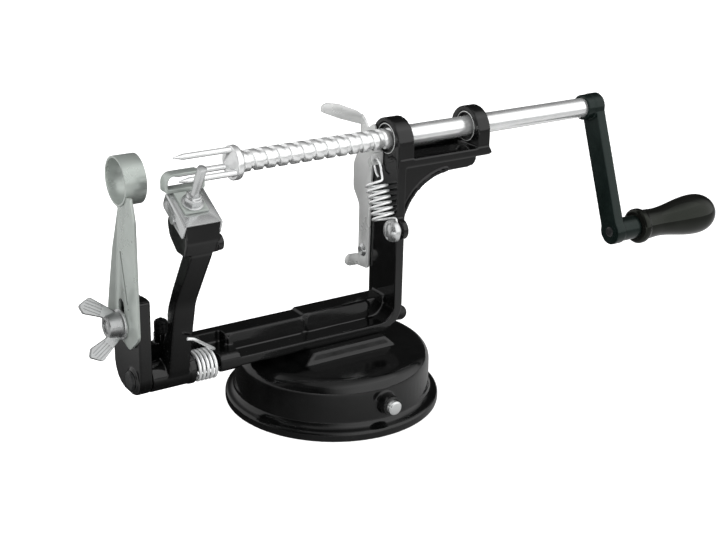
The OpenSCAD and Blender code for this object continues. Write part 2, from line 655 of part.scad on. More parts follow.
module release_lever() {
    ear_top = hook_z + 3.4;
    ear_bottom = hook_z - 3;
    tab_far = lever_far_y;
    tab_near = lever_far_y - lever_t;
    color(satin_steel) difference() {
        union() {
            plate_x(lever_x, lever_x + lever_t) polygon(rounded([
                [lever_edge_y + 0.6, lever_pivot_z - 8.6, 2], [lever_far_y, lever_pivot_z - 9.4, 0],
                [lever_far_y, shaft_z - 38, 6], [lever_far_y + 5.6, shaft_z - 31, 6],
                [lever_far_y + 5.6, shaft_z - 18, 7], [lever_far_y, shaft_z - 7, 6],
                [lever_far_y, shaft_z + 7.6, 0], [lever_far_y - 3.6, shaft_z + 5.2, 1.2],
                [13.4, shaft_z + 2, 0.8], [8.2, shaft_z + 5.8, 1.4], [nose_r + 2.2, shaft_z + 1.6, 0.6],
                [nose_r, shaft_z + 0.9, 0.3], [nose_r, shaft_z - 0.9, 0.3],
                [nose_r + 2.2, shaft_z - 1.6, 0.8], [8.4, ear_top + 2, 1.5],
                [hook_y - lever_t / 2, ear_top, 0], [hook_y - lever_t / 2, ear_bottom, 0],
                [9, ear_bottom - 2, 3], [lever_edge_y, shaft_z - 40, 6]], 4));
            plate_y(hook_y - lever_t / 2, hook_y + lever_t / 2) polygon(rounded([
                [nose_x, ear_bottom + 0.2, 0], [nose_x, ear_top - 0.2, 0],
                [ring_x - ear_reach, ear_top - 0.2, 2], [ring_x - ear_reach, ear_bottom + 0.2, 2]]));
            plate_y(tab_near, tab_far) polygon(rounded([[nose_x, shaft_z + 2.4, 0],
                [nose_x, shaft_z + 7.2, 0], [lever_x - thumb_l * 0.12, shaft_z + 9.9, 6],
                [lever_x - thumb_l * 0.55, shaft_z + 14.1, 14], [lever_x - thumb_l * 0.86, shaft_z + 15.7, 4],
                [lever_x - thumb_l, shaft_z + 14.6, 1.6], [lever_x - thumb_l, shaft_z + 11.6, 2],
                [lever_x - thumb_l * 0.57, shaft_z + 7.2, 12]]));
            plate_y(tab_near, tab_far) polygon(rounded([[nose_x, lever_pivot_z - 8.8, 0],
                [nose_x, lever_pivot_z - 3, 0], [lever_x - 8, lever_pivot_z - 2.2, 3],
                [lever_x - 8, lever_pivot_z - 8.4, 3]]));
        }
        rod_x(lever_x - 1, lever_x + lever_t + 1, rivet_r + run_gap, lever_pivot_y, lever_pivot_z);
        rod_y(hook_y - 3, hook_y + 3, hook_hole_r, ring_x, hook_z);
    }
}
module lever_rivet() {
    color(bright_steel) {
        rod_x(lever_x - seat_gap - eps, upright_back + seat_gap + eps, rivet_r, lever_pivot_y, lever_pivot_z);
        turned_x(lever_x - seat_gap - 1.3, lever_pivot_y, lever_pivot_z)
            polygon(rounded([[0, 0, 0], [2.2, 0, 0.9], [3.4, 1.3, 0], [0, 1.3, 0]]));
        rod_x(upright_back + seat_gap, upright_back + 1.2, 3.2, lever_pivot_y, lever_pivot_z);
    }
}
module release_spring() {
    echo(release_spring_gap = least_gap(release_path, release_wire, 5));
    color(bright_steel) tube(release_path, release_wire, [1, 0, 0]);
}
module spring_screw() {
    head_x = upright_x - 2.2;
    head_h = 4.6;
    head_r = spring_screw_d / 2;
    color(bright_steel) difference() {
        union() {
            turned_x(head_x - head_h, spring_screw_y, spring_screw_z) polygon(rounded([[0, 0, 0],
                [head_r * 0.62, 0.2, 4], [head_r - 0.5, 2.2, 2], [head_r, head_h, 0.5], [0, head_h, 0]]));
            rod_x(head_x - eps, upright_x + screw_lug_t - 0.4, spring_screw_r,
                spring_screw_y, spring_screw_z);
        }
        translate([head_x - head_h - 1, spring_screw_y - 0.7, spring_screw_z - head_r - 1])
            cube([2.4, 1.4, 2 * head_r + 2]);
    }
}

// Peeling arm with its pivot, spring, blade and holder
arm_back = arm_x + arm_w;
hub_front = post_back + body_gap;
hub_back = arm_x + arm_w + 4;
coil_front = hub_back + body_gap + arm_wire / 2;
coil_back = lug_x - 0.6 - arm_wire / 2;
coil_turns = 5.25;
coil_step = (coil_back - coil_front) / coil_turns;
under_web = beam_z - arm_wire / 2 - 0.6;
// Ends of the wire: one under the web, one out across the coils to the arm's near face
arm_path = concat(
    [[coil_front, web_y + 5, under_web], [coil_front, web_y + 1.5, under_web],
        [coil_front, web_y - 0.8, under_web + 0.4], [coil_front, web_y - 2, under_web + 1.8]],
    [for (i = [0:coil_turns * 8]) let (a = 45 * i)
        [coil_front + coil_step * i / 8, pivot_y + arm_spring_r * cos(a), pivot_z + arm_spring_r * sin(a)]],
    [for (p = [[-0.3, -1.8, 0.5], [-1.3, -3.2, 1.5], [-3, -4.6, 3], [-9, -9.4, 7.8], [-14.4, -13.2, 12.2],
        [-16.6, -13.9, 13.6], [-19.4, -14.2, 14.4]])
        [coil_back + p[0], pivot_y + p[1], pivot_z + arm_spring_r + p[2]]]);

// Run of the blade holder's top, from its near edge towards the fruit's axis
holder_near = [-42, 117.3];
holder_dir = unit2([17.6, 9.6]);
holder_up = [-holder_dir[1], holder_dir[0]];
holder_l = 20;
bolt_run = 11;
bolt_x = holder_x + 8.2;
bolt_r = 2;
bolt_sunk = sheet_t + 8;
bolt_rise = 21.3;
rivet_small_r = 1.2;
rivet_at = holder_near + [11, -0.3];
function on_holder(run, rise) = holder_near + holder_dir * run + holder_up * rise;
// Outline points of the arm, [y, z, radius], from its pivot and from its holder's near edge
function arm_at(y, z, r) = [pivot_y + y, pivot_z + z, r];
function head_at(y, z, r) = [holder_near[0] + y, holder_near[1] + z, r];
module along_holder(run, rise) {
    p = on_holder(run, rise);
    translate([bolt_x, p[0], p[1]]) rotate([atan2(holder_dir[1], holder_dir[0]), 0, 0]) children();
}
head_from = holder_x + sheet_t + seat_gap;
head_to = holder_x + holder_w - sheet_t - seat_gap;

module peel_arm() {
    top_near = on_holder(1, -sheet_t - seat_gap);
    top_far = on_holder(holder_l - 5, -sheet_t - seat_gap);
    boss_r = 3.6;
    color("#141617") difference() {
        union() {
            rod_x(hub_front, hub_back, arm_hub_r, pivot_y, pivot_z);
            rod_x(hub_back - 2.6, hub_back, arm_hub_r + 0.4, pivot_y, pivot_z);
            plate_x(arm_x, arm_back) polygon(rounded([
                arm_at(0, -2, 0), arm_at(-7, 0, 0), arm_at(-8.2, 3.5, 0), arm_at(-13, 26.5, 0),
                arm_at(-16, 38.5, 20), head_at(3.4, -15.8, 0), head_at(3, -11.3, 0), head_at(12, -11.3, 0),
                head_at(11.7, -17.3, 0), arm_at(-13.2, 45.2, 0), arm_at(-7.6, 33.8, 20),
                arm_at(-6.8, 23.9, 0), arm_at(2, 8.5, 6), arm_at(5.6, 3, 0)]));
            plate_x(head_from, head_to) polygon(rounded([
                head_at(3.2, -14.9, 1), head_at(0.6, -8.8, 3), [top_near[0], top_near[1], 0.6],
                [top_far[0], top_far[1], 0.8], head_at(19.4, -3.3, 3), head_at(17.6, -9.3, 4),
                head_at(11, -14.7, 2)]));
            rod_x(head_to - 1, head_to + 1.6, boss_r, holder_near[0] + 3.8, holder_near[1] - 10.7);
        }
        rod_x(hub_front - 1, hub_back + 1, pivot_d / 2 + run_gap, pivot_y, pivot_z);
        along_holder(bolt_run, -bolt_sunk - 1) cylinder(h = bolt_sunk + 2, r = bolt_r + run_gap);
        rod_x(head_from - 1, head_from + 4, rivet_small_r + run_gap, rivet_at[0], rivet_at[1]);
        rod_x(head_to - 4, head_to + 1, rivet_small_r + run_gap, rivet_at[0], rivet_at[1]);
    }
}
module pivot_rod() {
    color("#1d1f20") {
        rod_x(post_x - 0.9, lug_x + lug_l - 0.5, pivot_d / 2, pivot_y, pivot_z);
        turned_x(post_x - 0.9 - seat_gap - 1.6, pivot_y, pivot_z) polygon(rounded([[0, 0, 0],
            [pivot_d / 2 + 1, 0.3, 0.8], [pivot_d / 2 + 1.6, 1.6, 0], [0, 1.6, 0]]));
        rod_x(post_x - 1.4, post_x - 0.8, pivot_d / 2, pivot_y, pivot_z);
    }
}
module arm_spring() {
    echo(arm_spring_gap = least_gap(arm_path, arm_wire, 6));
    color(bright_steel) tube(arm_path, arm_wire, [1, 0, 0]);
}
module holder_side(from, to) {
    near_low = on_holder(0, 0) + [2.7, -6.7];
    far_top = on_holder(holder_l, 0);
    far_low = on_holder(holder_l, -7.5);
    plate_x(from, to) polygon(rounded([[holder_near[0], holder_near[1], 0], [near_low[0], near_low[1], 1],
        [far_low[0], far_low[1], 2], [far_top[0], far_top[1], 0]]));
}
module blade_holder() {
    back = holder_x + holder_w;
    a = on_holder(0, 0);
    b = on_holder(holder_l, 0);
    c = on_holder(holder_l, -sheet_t);
    d = on_holder(0, -sheet_t);
    color(bright_steel) difference() {
        union() {
            plate_x(holder_x, back) polygon([a, b, c, d]);
            holder_side(holder_x, holder_x + sheet_t);
            holder_side(back - sheet_t, back);
        }
        along_holder(bolt_run, -sheet_t - 1) cylinder(h = sheet_t + 2, r = bolt_r + run_gap);
        rod_x(holder_x - 1, back + 1, rivet_small_r + run_gap, rivet_at[0], rivet_at[1]);
    }
}
module holder_rivets() {
    back = holder_x + holder_w;
    color(bright_steel) {
        rod_x(holder_x - seat_gap, head_from + 3.6, rivet_small_r, rivet_at[0], rivet_at[1]);
        rod_x(holder_x - 0.6 - seat_gap, holder_x - seat_gap + eps, rivet_small_r * 1.6,
            rivet_at[0], rivet_at[1]);
        rod_x(head_to - 3.6, back + seat_gap, rivet_small_r, rivet_at[0], rivet_at[1]);
        rod_x(back + seat_gap - eps, back + 0.6 + seat_gap, rivet_small_r * 1.6, rivet_at[0], rivet_at[1]);
    }
}
tongue_from = 6;
loop_w = 5.6;
loop_set = 2.4;
loop_low = 1.6;
module peel_blade() {
    tongue_end = holder_l + 1.2 * sheet_t;
    a = on_holder(tongue_from, seat_gap);
    b = on_holder(tongue_end, seat_gap);
    c = on_holder(tongue_end, seat_gap + sheet_t);
    d = on_holder(tongue_from, seat_gap + sheet_t);
    loop_y = on_holder(holder_l, 0)[0] + seat_gap - loop_set;
    loop_z = on_holder(holder_l, seat_gap)[1] + 0.05;
    loop_from = holder_x - 0.8;
    loop_to = holder_x + holder_w - 0.6;
    color("#b9bdbf") difference() {
        union() {
            plate_x(bolt_x - 5.4, bolt_x + 5.6) polygon([a, b, c, d]);
            plate_y(loop_y, loop_y + loop_w) polygon(rounded([[loop_from, loop_z, 1], [loop_to, loop_z, 1],
                [loop_to, loop_z + loop_h, 3], [loop_from, loop_z + loop_h, 4]]));
        }
        along_holder(bolt_run, 0) cylinder(h = sheet_t + 2, r = bolt_r + run_gap);
        plate_y(loop_y - 1, loop_y + loop_w + 1) polygon(rounded([
            [loop_from + sheet_t, loop_z + loop_low, 0.6], [loop_to - sheet_t, loop_z + loop_low, 0.6],
            [loop_to - sheet_t, loop_z + loop_h - sheet_t, 2],
            [loop_from + sheet_t, loop_z + loop_h - sheet_t, 3]]));
    }
}
washer_t = 0.8;
module blade_bolt() {
    color(bright_steel) along_holder(bolt_run, -bolt_sunk)
        cylinder(h = bolt_sunk + bolt_rise, r = bolt_r);
}
module blade_washer() {
    color(bright_steel) along_holder(bolt_run, sheet_t + 2 * seat_gap) difference() {
        cylinder(h = washer_t, r = bolt_r + 2.8);
        translate([0, 0, -1]) cylinder(h = washer_t + 2, r = bolt_r + run_gap);
    }
}
module blade_nut() {
    color(bright_steel) along_holder(bolt_run, sheet_t + washer_t + 3 * seat_gap) difference() {
        union() {
            cylinder(h = 3, r = bolt_r + 2, $fn = 6);
            translate([0, 0, 3 - eps]) cylinder(h = 1, r1 = bolt_r + 1.4, r2 = bolt_r + 0.8);
        }
        translate([0, 0, -1]) cylinder(h = 6, r = bolt_r + run_gap);
    }
}

// Slicing blade, stud and wing nut
slicer_back = post_x - body_gap;
slicer_front = slicer_back - slicer_t;
washer_front = slicer_front - seat_gap - 1.2;
nut_back = washer_front - seat_gap;
nut_hub_l = 6.4;
wing_turn = 64;
slicer_near = 16.8;
slicer_far = 15.5;
slicer_foot = 10;
module slicer_blade() {
    slot_top = stud_z + 12;
    slot_r = stud_d / 2 + run_gap;
    color("#b4b8b8") difference() {
        plate_x(slicer_front, slicer_back) polygon(rounded([[-slicer_near, stud_z - 2, 4],
            [-7.4, stud_z - slicer_foot, 3], [9, stud_z - 5.5, 3], [slicer_far, stud_z + 2, 4],
            [slicer_far - 2.9, stud_z + 14, 10], [slicer_far - 7.9, stud_z + 33, 24],
            [-0.4, shaft_z - core_r - 2, 0], [4, shaft_z - core_r + 1, 0], [4, shaft_z - core_r + 3, 0],
            [-13.5, shaft_z - 4, 1.5], [-slicer_near + 0.4, shaft_z - 14, 4]]));
        rod_x(slicer_front - 1, slicer_back + 1, core_r + 1, 0, shaft_z);
        rod_x(slicer_front - 1, slicer_back + 1, slot_r, 0, stud_z);
        rod_x(slicer_front - 1, slicer_back + 1, slot_r, 0, slot_top - slot_r);
        plate_x(slicer_front - 1, slicer_back + 1) translate([-slot_r, stud_z])
            square([2 * slot_r, slot_top - slot_r - stud_z]);
    }
}
module coring_ring() {
    color("#c2c6c7") difference() {
        rod_x(slicer_front - 0.4, slicer_front - 0.4 + core_l, core_r + 1 - run_gap, 0, shaft_z);
        rod_x(slicer_front - 2, slicer_front + core_l + 1, core_r, 0, shaft_z);
    }
}
module blade_stud() {
    color(bright_steel) {
        rod_x(nut_back - nut_hub_l + 0.8, post_back + eps, stud_d / 2, 0, stud_z);
        translate([post_back + seat_gap, 0, stud_z]) rotate([0, 90, 0])
            cylinder(h = 3.6, r = stud_d / 2 + 2.2, $fn = 6);
        rod_x(post_back - eps, post_back + 1, stud_d / 2, 0, stud_z);
    }
}
module stud_washer() {
    color(bright_steel) difference() {
        rod_x(washer_front, slicer_front - seat_gap, stud_d / 2 + 4, 0, stud_z);
        rod_x(washer_front - 1, slicer_front + 1, stud_d / 2 + run_gap, 0, stud_z);
    }
}
module wing_nut() {
    hub_r = stud_d / 2 + 2.9;
    wing_t = 2.4;
    wing_r = hub_r + 8.5;
    wing_out = nut_hub_l + 10.2;
    color(bright_steel) difference() {
        union() {
            turned_x(nut_back - nut_hub_l, 0, stud_z) polygon(rounded([[0, 0, 0], [hub_r - 1, 0, 0.8],
                [hub_r, nut_hub_l, 0], [0, nut_hub_l, 0]]));
            for (turn = [0, 180])
                translate([nut_back, 0, stud_z]) rotate([turn + wing_turn, 0, 0])
                    plate_z(-wing_t / 2, wing_t / 2) polygon(rounded([
                        [-0.6, stud_d / 2 + 0.4, 0], [-1, hub_r + 0.4, 2], [-wing_out + 5.6, wing_r, 1.6],
                        [-wing_out, wing_r - 2.8, 1.2], [-wing_out + 1.4, wing_r - 6.6, 1.2],
                        [-nut_hub_l, hub_r - 1.6, 2],
                        [-nut_hub_l, stud_d / 2 + 0.4, 0]]));
        }
        rod_x(nut_back - nut_hub_l - 2, nut_back + 1, stud_d / 2 + run_gap, 0, stud_z);
    }
}

base_dome();
frame_casting();
seat_screws();
suction_pad();
pad_stirrup();
clamp_axle();
clamp_lever();
clamp_tip();
clamp_rivet();
front_bush();
rear_bush();
feed_shaft();
apple_fork();
crank_arm();
grip_pin();
handle_grip();
release_lever();
lever_rivet();
release_spring();
spring_screw();
pivot_rod();
peel_arm();
arm_spring();
blade_holder();
holder_rivets();
peel_blade();
blade_bolt();
blade_washer();
blade_nut();
stop_screw();
slicer_blade();
coring_ring();
blade_stud();
stud_washer();
wing_nut();
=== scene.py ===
import json
import math
import bpy
from mathutils import Matrix, Vector


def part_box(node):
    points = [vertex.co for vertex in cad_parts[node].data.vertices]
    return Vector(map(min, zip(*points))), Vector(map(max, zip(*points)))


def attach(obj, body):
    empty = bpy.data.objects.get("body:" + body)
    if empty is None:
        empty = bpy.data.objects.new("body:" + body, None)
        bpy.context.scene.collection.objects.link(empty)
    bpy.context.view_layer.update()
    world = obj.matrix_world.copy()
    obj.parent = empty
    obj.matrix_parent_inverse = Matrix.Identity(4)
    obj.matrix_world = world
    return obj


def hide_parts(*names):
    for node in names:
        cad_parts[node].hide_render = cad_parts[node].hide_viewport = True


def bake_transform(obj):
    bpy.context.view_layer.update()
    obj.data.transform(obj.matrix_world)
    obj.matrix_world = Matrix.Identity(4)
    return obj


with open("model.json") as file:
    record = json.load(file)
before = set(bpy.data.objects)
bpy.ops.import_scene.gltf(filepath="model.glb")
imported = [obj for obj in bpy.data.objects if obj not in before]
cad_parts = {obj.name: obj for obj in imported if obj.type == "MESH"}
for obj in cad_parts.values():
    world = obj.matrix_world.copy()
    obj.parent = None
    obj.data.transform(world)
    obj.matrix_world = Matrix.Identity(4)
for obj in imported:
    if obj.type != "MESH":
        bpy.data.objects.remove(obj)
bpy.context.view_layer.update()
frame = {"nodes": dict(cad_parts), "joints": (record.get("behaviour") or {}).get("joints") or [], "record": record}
mm = 0.001
jointSpot = {j["name"]: Vector(j["pos_m"]) for j in frame["joints"] if "pos_m" in j}
shaftZ = jointSpot["crank_turn"].z
print("frame loaded:", len(frame["nodes"]), "nodes")


# everyday moves in edit and object mode
def clearSelection():
    if bpy.context.object and bpy.context.object.mode != "OBJECT":
        bpy.ops.object.mode_set(mode="OBJECT")
    bpy.ops.object.select_all(action="DESELECT")


def makeActive(piece):
    clearSelection()
    piece.select_set(True)
    bpy.context.view_layer.objects.active = piece


def startPiece(name):
    piece = bpy.context.object  # the primitive that was just added
    piece.name = name
    piece.data.name = name
    return piece


def applyModifier(piece, kind, **values):
    makeActive(piece)
    modifier = piece.modifiers.new(kind.title(), kind)
    for key, value in values.items():
        setattr(modifier, key, value)
    bpy.ops.object.modifier_apply(modifier=modifier.name)


def settle(piece):
    makeActive(piece)  # place, turn and scale go into the mesh
    bpy.ops.object.transform_apply(location=True, rotation=True, scale=True)


def closeUp(piece, reach=1e-6):
    makeActive(piece)
    bpy.ops.object.mode_set(mode="EDIT")
    bpy.ops.mesh.select_all(action="SELECT")
    bpy.ops.mesh.remove_doubles(threshold=reach)
    bpy.ops.mesh.normals_make_consistent(inside=False)
    bpy.ops.object.mode_set(mode="OBJECT")


def copyOfNode(node, name):
    piece = bpy.data.objects.new(name, frame["nodes"][node].data.copy())
    bpy.context.scene.collection.objects.link(piece)
    piece.data.materials.clear()
    makeActive(piece)
    bpy.ops.mesh.customdata_custom_splitnormals_clear()
    bpy.ops.object.mode_set(mode="EDIT")
    bpy.ops.mesh.select_all(action="SELECT")
    bpy.ops.mesh.remove_doubles(threshold=1e-6)
    bpy.ops.object.mode_set(mode="OBJECT")
    return piece


# the two long outer edges of a bent sheet, found by their lift over the sheet's slope
def roundBends(piece, look):
    bpy.ops.mesh.select_mode(type="EDGE")
    bpy.ops.mesh.select_all(action="DESELECT")
    bpy.ops.object.mode_set(mode="OBJECT")
    spots = [v.co.copy() for v in piece.data.vertices]
    low, high = min(spot.x for spot in spots), max(spot.x for spot in spots)
    lifts = [spot.z - look["slope"] * spot.y for spot in spots]
    top = max(lifts) - look["near"]
    atEdge = [lift > top and min(spot.x - low, high - spot.x) < look["near"]
              for spot, lift in zip(spots, lifts)]
    for edge in piece.data.edges:
        a, b = edge.vertices
        edge.select = atEdge[a] and atEdge[b] and abs(spots[a].x - spots[b].x) < look["near"]
    bpy.ops.object.mode_set(mode="EDIT")
    bpy.ops.mesh.bevel(offset=look["radius"], segments=look["segments"], affect="EDGES")


def softenedCopy(node, name, width, bend=None):
    piece = copyOfNode(node, name)
    bpy.ops.object.mode_set(mode="EDIT")
    bpy.ops.mesh.select_all(action="SELECT")
    bpy.ops.mesh.dissolve_limited(angle_limit=math.radians(0.5))  # flat faces in one again
    if bend:
        roundBends(piece, bend)
    bpy.ops.mesh.select_all(action="DESELECT")
    bpy.ops.mesh.select_mode(type="EDGE")
    bpy.ops.mesh.edges_select_sharp(sharpness=math.radians(35))
    bpy.ops.mesh.bevel(offset=width, segments=2, affect="EDGES", clamp_overlap=False)
    bpy.ops.mesh.select_mode(type="VERT")
    bpy.ops.object.mode_set(mode="OBJECT")
    return piece


def grooveBlock(name, place):
    clearSelection()
    bpy.ops.mesh.primitive_cube_add(size=1)
    block = startPiece(name)
    block.matrix_world = place
    settle(block)
    return block


def cutAway(piece, cutter):
    applyModifier(piece, "BOOLEAN", operation="DIFFERENCE", solver="EXACT", object=cutter)
    bpy.data.objects.remove(cutter)


def castRound(piece, look):
    applyModifier(piece, "REMESH", mode="VOXEL", voxel_size=look["voxel"])
    applyModifier(piece, "SMOOTH", factor=0.5, iterations=look["rounding"])
    applyModifier(piece, "DECIMATE", ratio=look["keep"])


axisRadius = 1e-6  # a ring this small is merged into a closed pole


# a round piece drawn ring by ring up Z from (radius, height) steps
def turned(name, steps, sides):
    clearSelection()
    radius, height = steps[0]
    bpy.ops.mesh.primitive_circle_add(vertices=sides, radius=radius, location=(0, 0, height))
    piece = startPiece(name)
    settle(piece)
    bpy.ops.object.mode_set(mode="EDIT")
    bpy.ops.mesh.select_all(action="SELECT")
    for nextRadius, nextHeight in steps[1:]:
        bpy.ops.mesh.extrude_region_move(TRANSFORM_OT_translate={"value": (0, 0, nextHeight - height)})
        grow = nextRadius / radius
        bpy.ops.transform.resize(value=(grow, grow, 1), center_override=(0, 0, nextHeight))
        radius, height = nextRadius, nextHeight
    bpy.ops.object.mode_set(mode="OBJECT")
    closeUp(piece, 2e-6)
    return piece


# corners of a profile (radius, height, fillet) with each fillet drawn as an arc
def filleted(corners, parts=5):
    steps = []
    for i, (r, h, fillet) in enumerate(corners):
        corner = Vector((r, h))
        if fillet == 0 or i in (0, len(corners) - 1):
            steps.append((r, h))
            continue
        toLast = (Vector(corners[i - 1][:2]) - corner).normalized()
        toNext = (Vector(corners[i + 1][:2]) - corner).normalized()
        half = toLast.angle(toNext) / 2
        centre = corner + (toLast + toNext).normalized() * fillet / math.sin(half)
        start = corner + toLast * fillet / math.tan(half) - centre
        end = corner + toNext * fillet / math.tan(half) - centre
        for k in range(parts + 1):
            arm = start.lerp(end, k / parts).normalized() * fillet
            steps.append(tuple(centre + arm))
    return steps


def layAlongX(piece, spot):
    piece.rotation_euler = (0, math.pi / 2, 0)
    piece.location = spot
    settle(piece)


def wire(name, path, diameter):
    clearSelection()
    curve = bpy.data.curves.new(name, "CURVE")
    curve.dimensions = "3D"
    curve.bevel_depth = diameter / 2
    curve.bevel_resolution = 3
    curve.use_fill_caps = True
    line = curve.splines.new("POLY")
    line.points.add(len(path) - 1)
    for point, spot in zip(line.points, path):
        point.co = (*spot, 1)
    piece = bpy.data.objects.new(name, curve)
    bpy.context.scene.collection.objects.link(piece)
    makeActive(piece)
    bpy.ops.object.convert(target="MESH")
    closeUp(bpy.context.object)
    return bpy.context.object


def smoothPath(points, parts):
    path = []  # a curve through all points, with tangents from their neighbours
    for i in range(len(points) - 1):
        before, a = points[max(i - 1, 0)], points[i]
        b, after = points[i + 1], points[min(i + 2, len(points) - 1)]
        for k in range(parts):
            t = k / parts
            path.append(0.5 * (2 * a + (b - before) * t + (2 * before - 5 * a + 4 * b - after) * t * t
                               + (3 * a - before - 3 * b + after) * t * t * t))
    return path + [points[-1]]


def coat(piece, finish, angle=32):
    piece.data.materials.clear()
    piece.data.materials.append(finishes[finish])
    makeActive(piece)
    bpy.ops.object.shade_smooth_by_angle(angle=math.radians(angle))


def takeOver(piece, node):
    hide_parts(node)
    print("piece", piece.name, len(piece.data.polygons), "faces")


def finishPiece(piece, body, finish, node):
    coat(piece, finish)
    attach(piece, body)
    takeOver(piece, node)


# effects that several finishes share
def startGroup(name, inputs, outputs):
    group = bpy.data.node_groups.new(name, "ShaderNodeTree")
    for label, value in inputs.items():
        kind = "NodeSocketVector" if isinstance(value, tuple) else "NodeSocketFloat"
        socket = group.interface.new_socket(name=label, in_out="INPUT", socket_type=kind)
        socket.default_value = value
    for label, kind in outputs.items():
        group.interface.new_socket(name=label, in_out="OUTPUT", socket_type=kind)
    return group, group.nodes.new("NodeGroupInput"), group.nodes.new("NodeGroupOutput")


def makeMottle():
    group, given, out = startGroup(
        "mottle", {"Scale": 100.0, "Detail": 4.0, "Low": 0.2, "High": 0.4},
        {"Value": "NodeSocketFloat", "Mask": "NodeSocketFloat"})
    link = group.links.new
    place = group.nodes.new("ShaderNodeTexCoord")
    noise = group.nodes.new("ShaderNodeTexNoise")
    spread = group.nodes.new("ShaderNodeMapRange")
    level = group.nodes.new("ShaderNodeMapRange")
    spread.inputs["From Min"].default_value = 0.3  # most of the noise lies between these
    spread.inputs["From Max"].default_value = 0.7
    link(place.outputs["Object"], noise.inputs["Vector"])
    link(given.outputs["Scale"], noise.inputs["Scale"])
    link(given.outputs["Detail"], noise.inputs["Detail"])
    link(noise.outputs["Fac"], spread.inputs["Value"])
    link(spread.outputs["Result"], level.inputs["Value"])
    link(given.outputs["Low"], level.inputs["To Min"])
    link(given.outputs["High"], level.inputs["To Max"])
    link(level.outputs["Result"], out.inputs["Value"])
    link(spread.outputs["Result"], out.inputs["Mask"])
    return group


def makeDrawnLines():
    group, given, out = startGroup(
        "drawnLines", {"Stretch": (1.0, 1.0, 1.0), "Scale": 900.0}, {"Mask": "NodeSocketFloat"})
    link = group.links.new
    place = group.nodes.new("ShaderNodeTexCoord")
    pull = group.nodes.new("ShaderNodeVectorMath")
    pull.operation = "MULTIPLY"
    noise = group.nodes.new("ShaderNodeTexNoise")
    noise.inputs["Detail"].default_value = 3.0
    link(place.outputs["Object"], pull.inputs[0])
    link(given.outputs["Stretch"], pull.inputs[1])
    link(pull.outputs["Vector"], noise.inputs["Vector"])
    link(given.outputs["Scale"], noise.inputs["Scale"])
    link(noise.outputs["Fac"], out.inputs["Mask"])
    return group


groups = {"mottle": makeMottle(), "drawnLines": makeDrawnLines()}

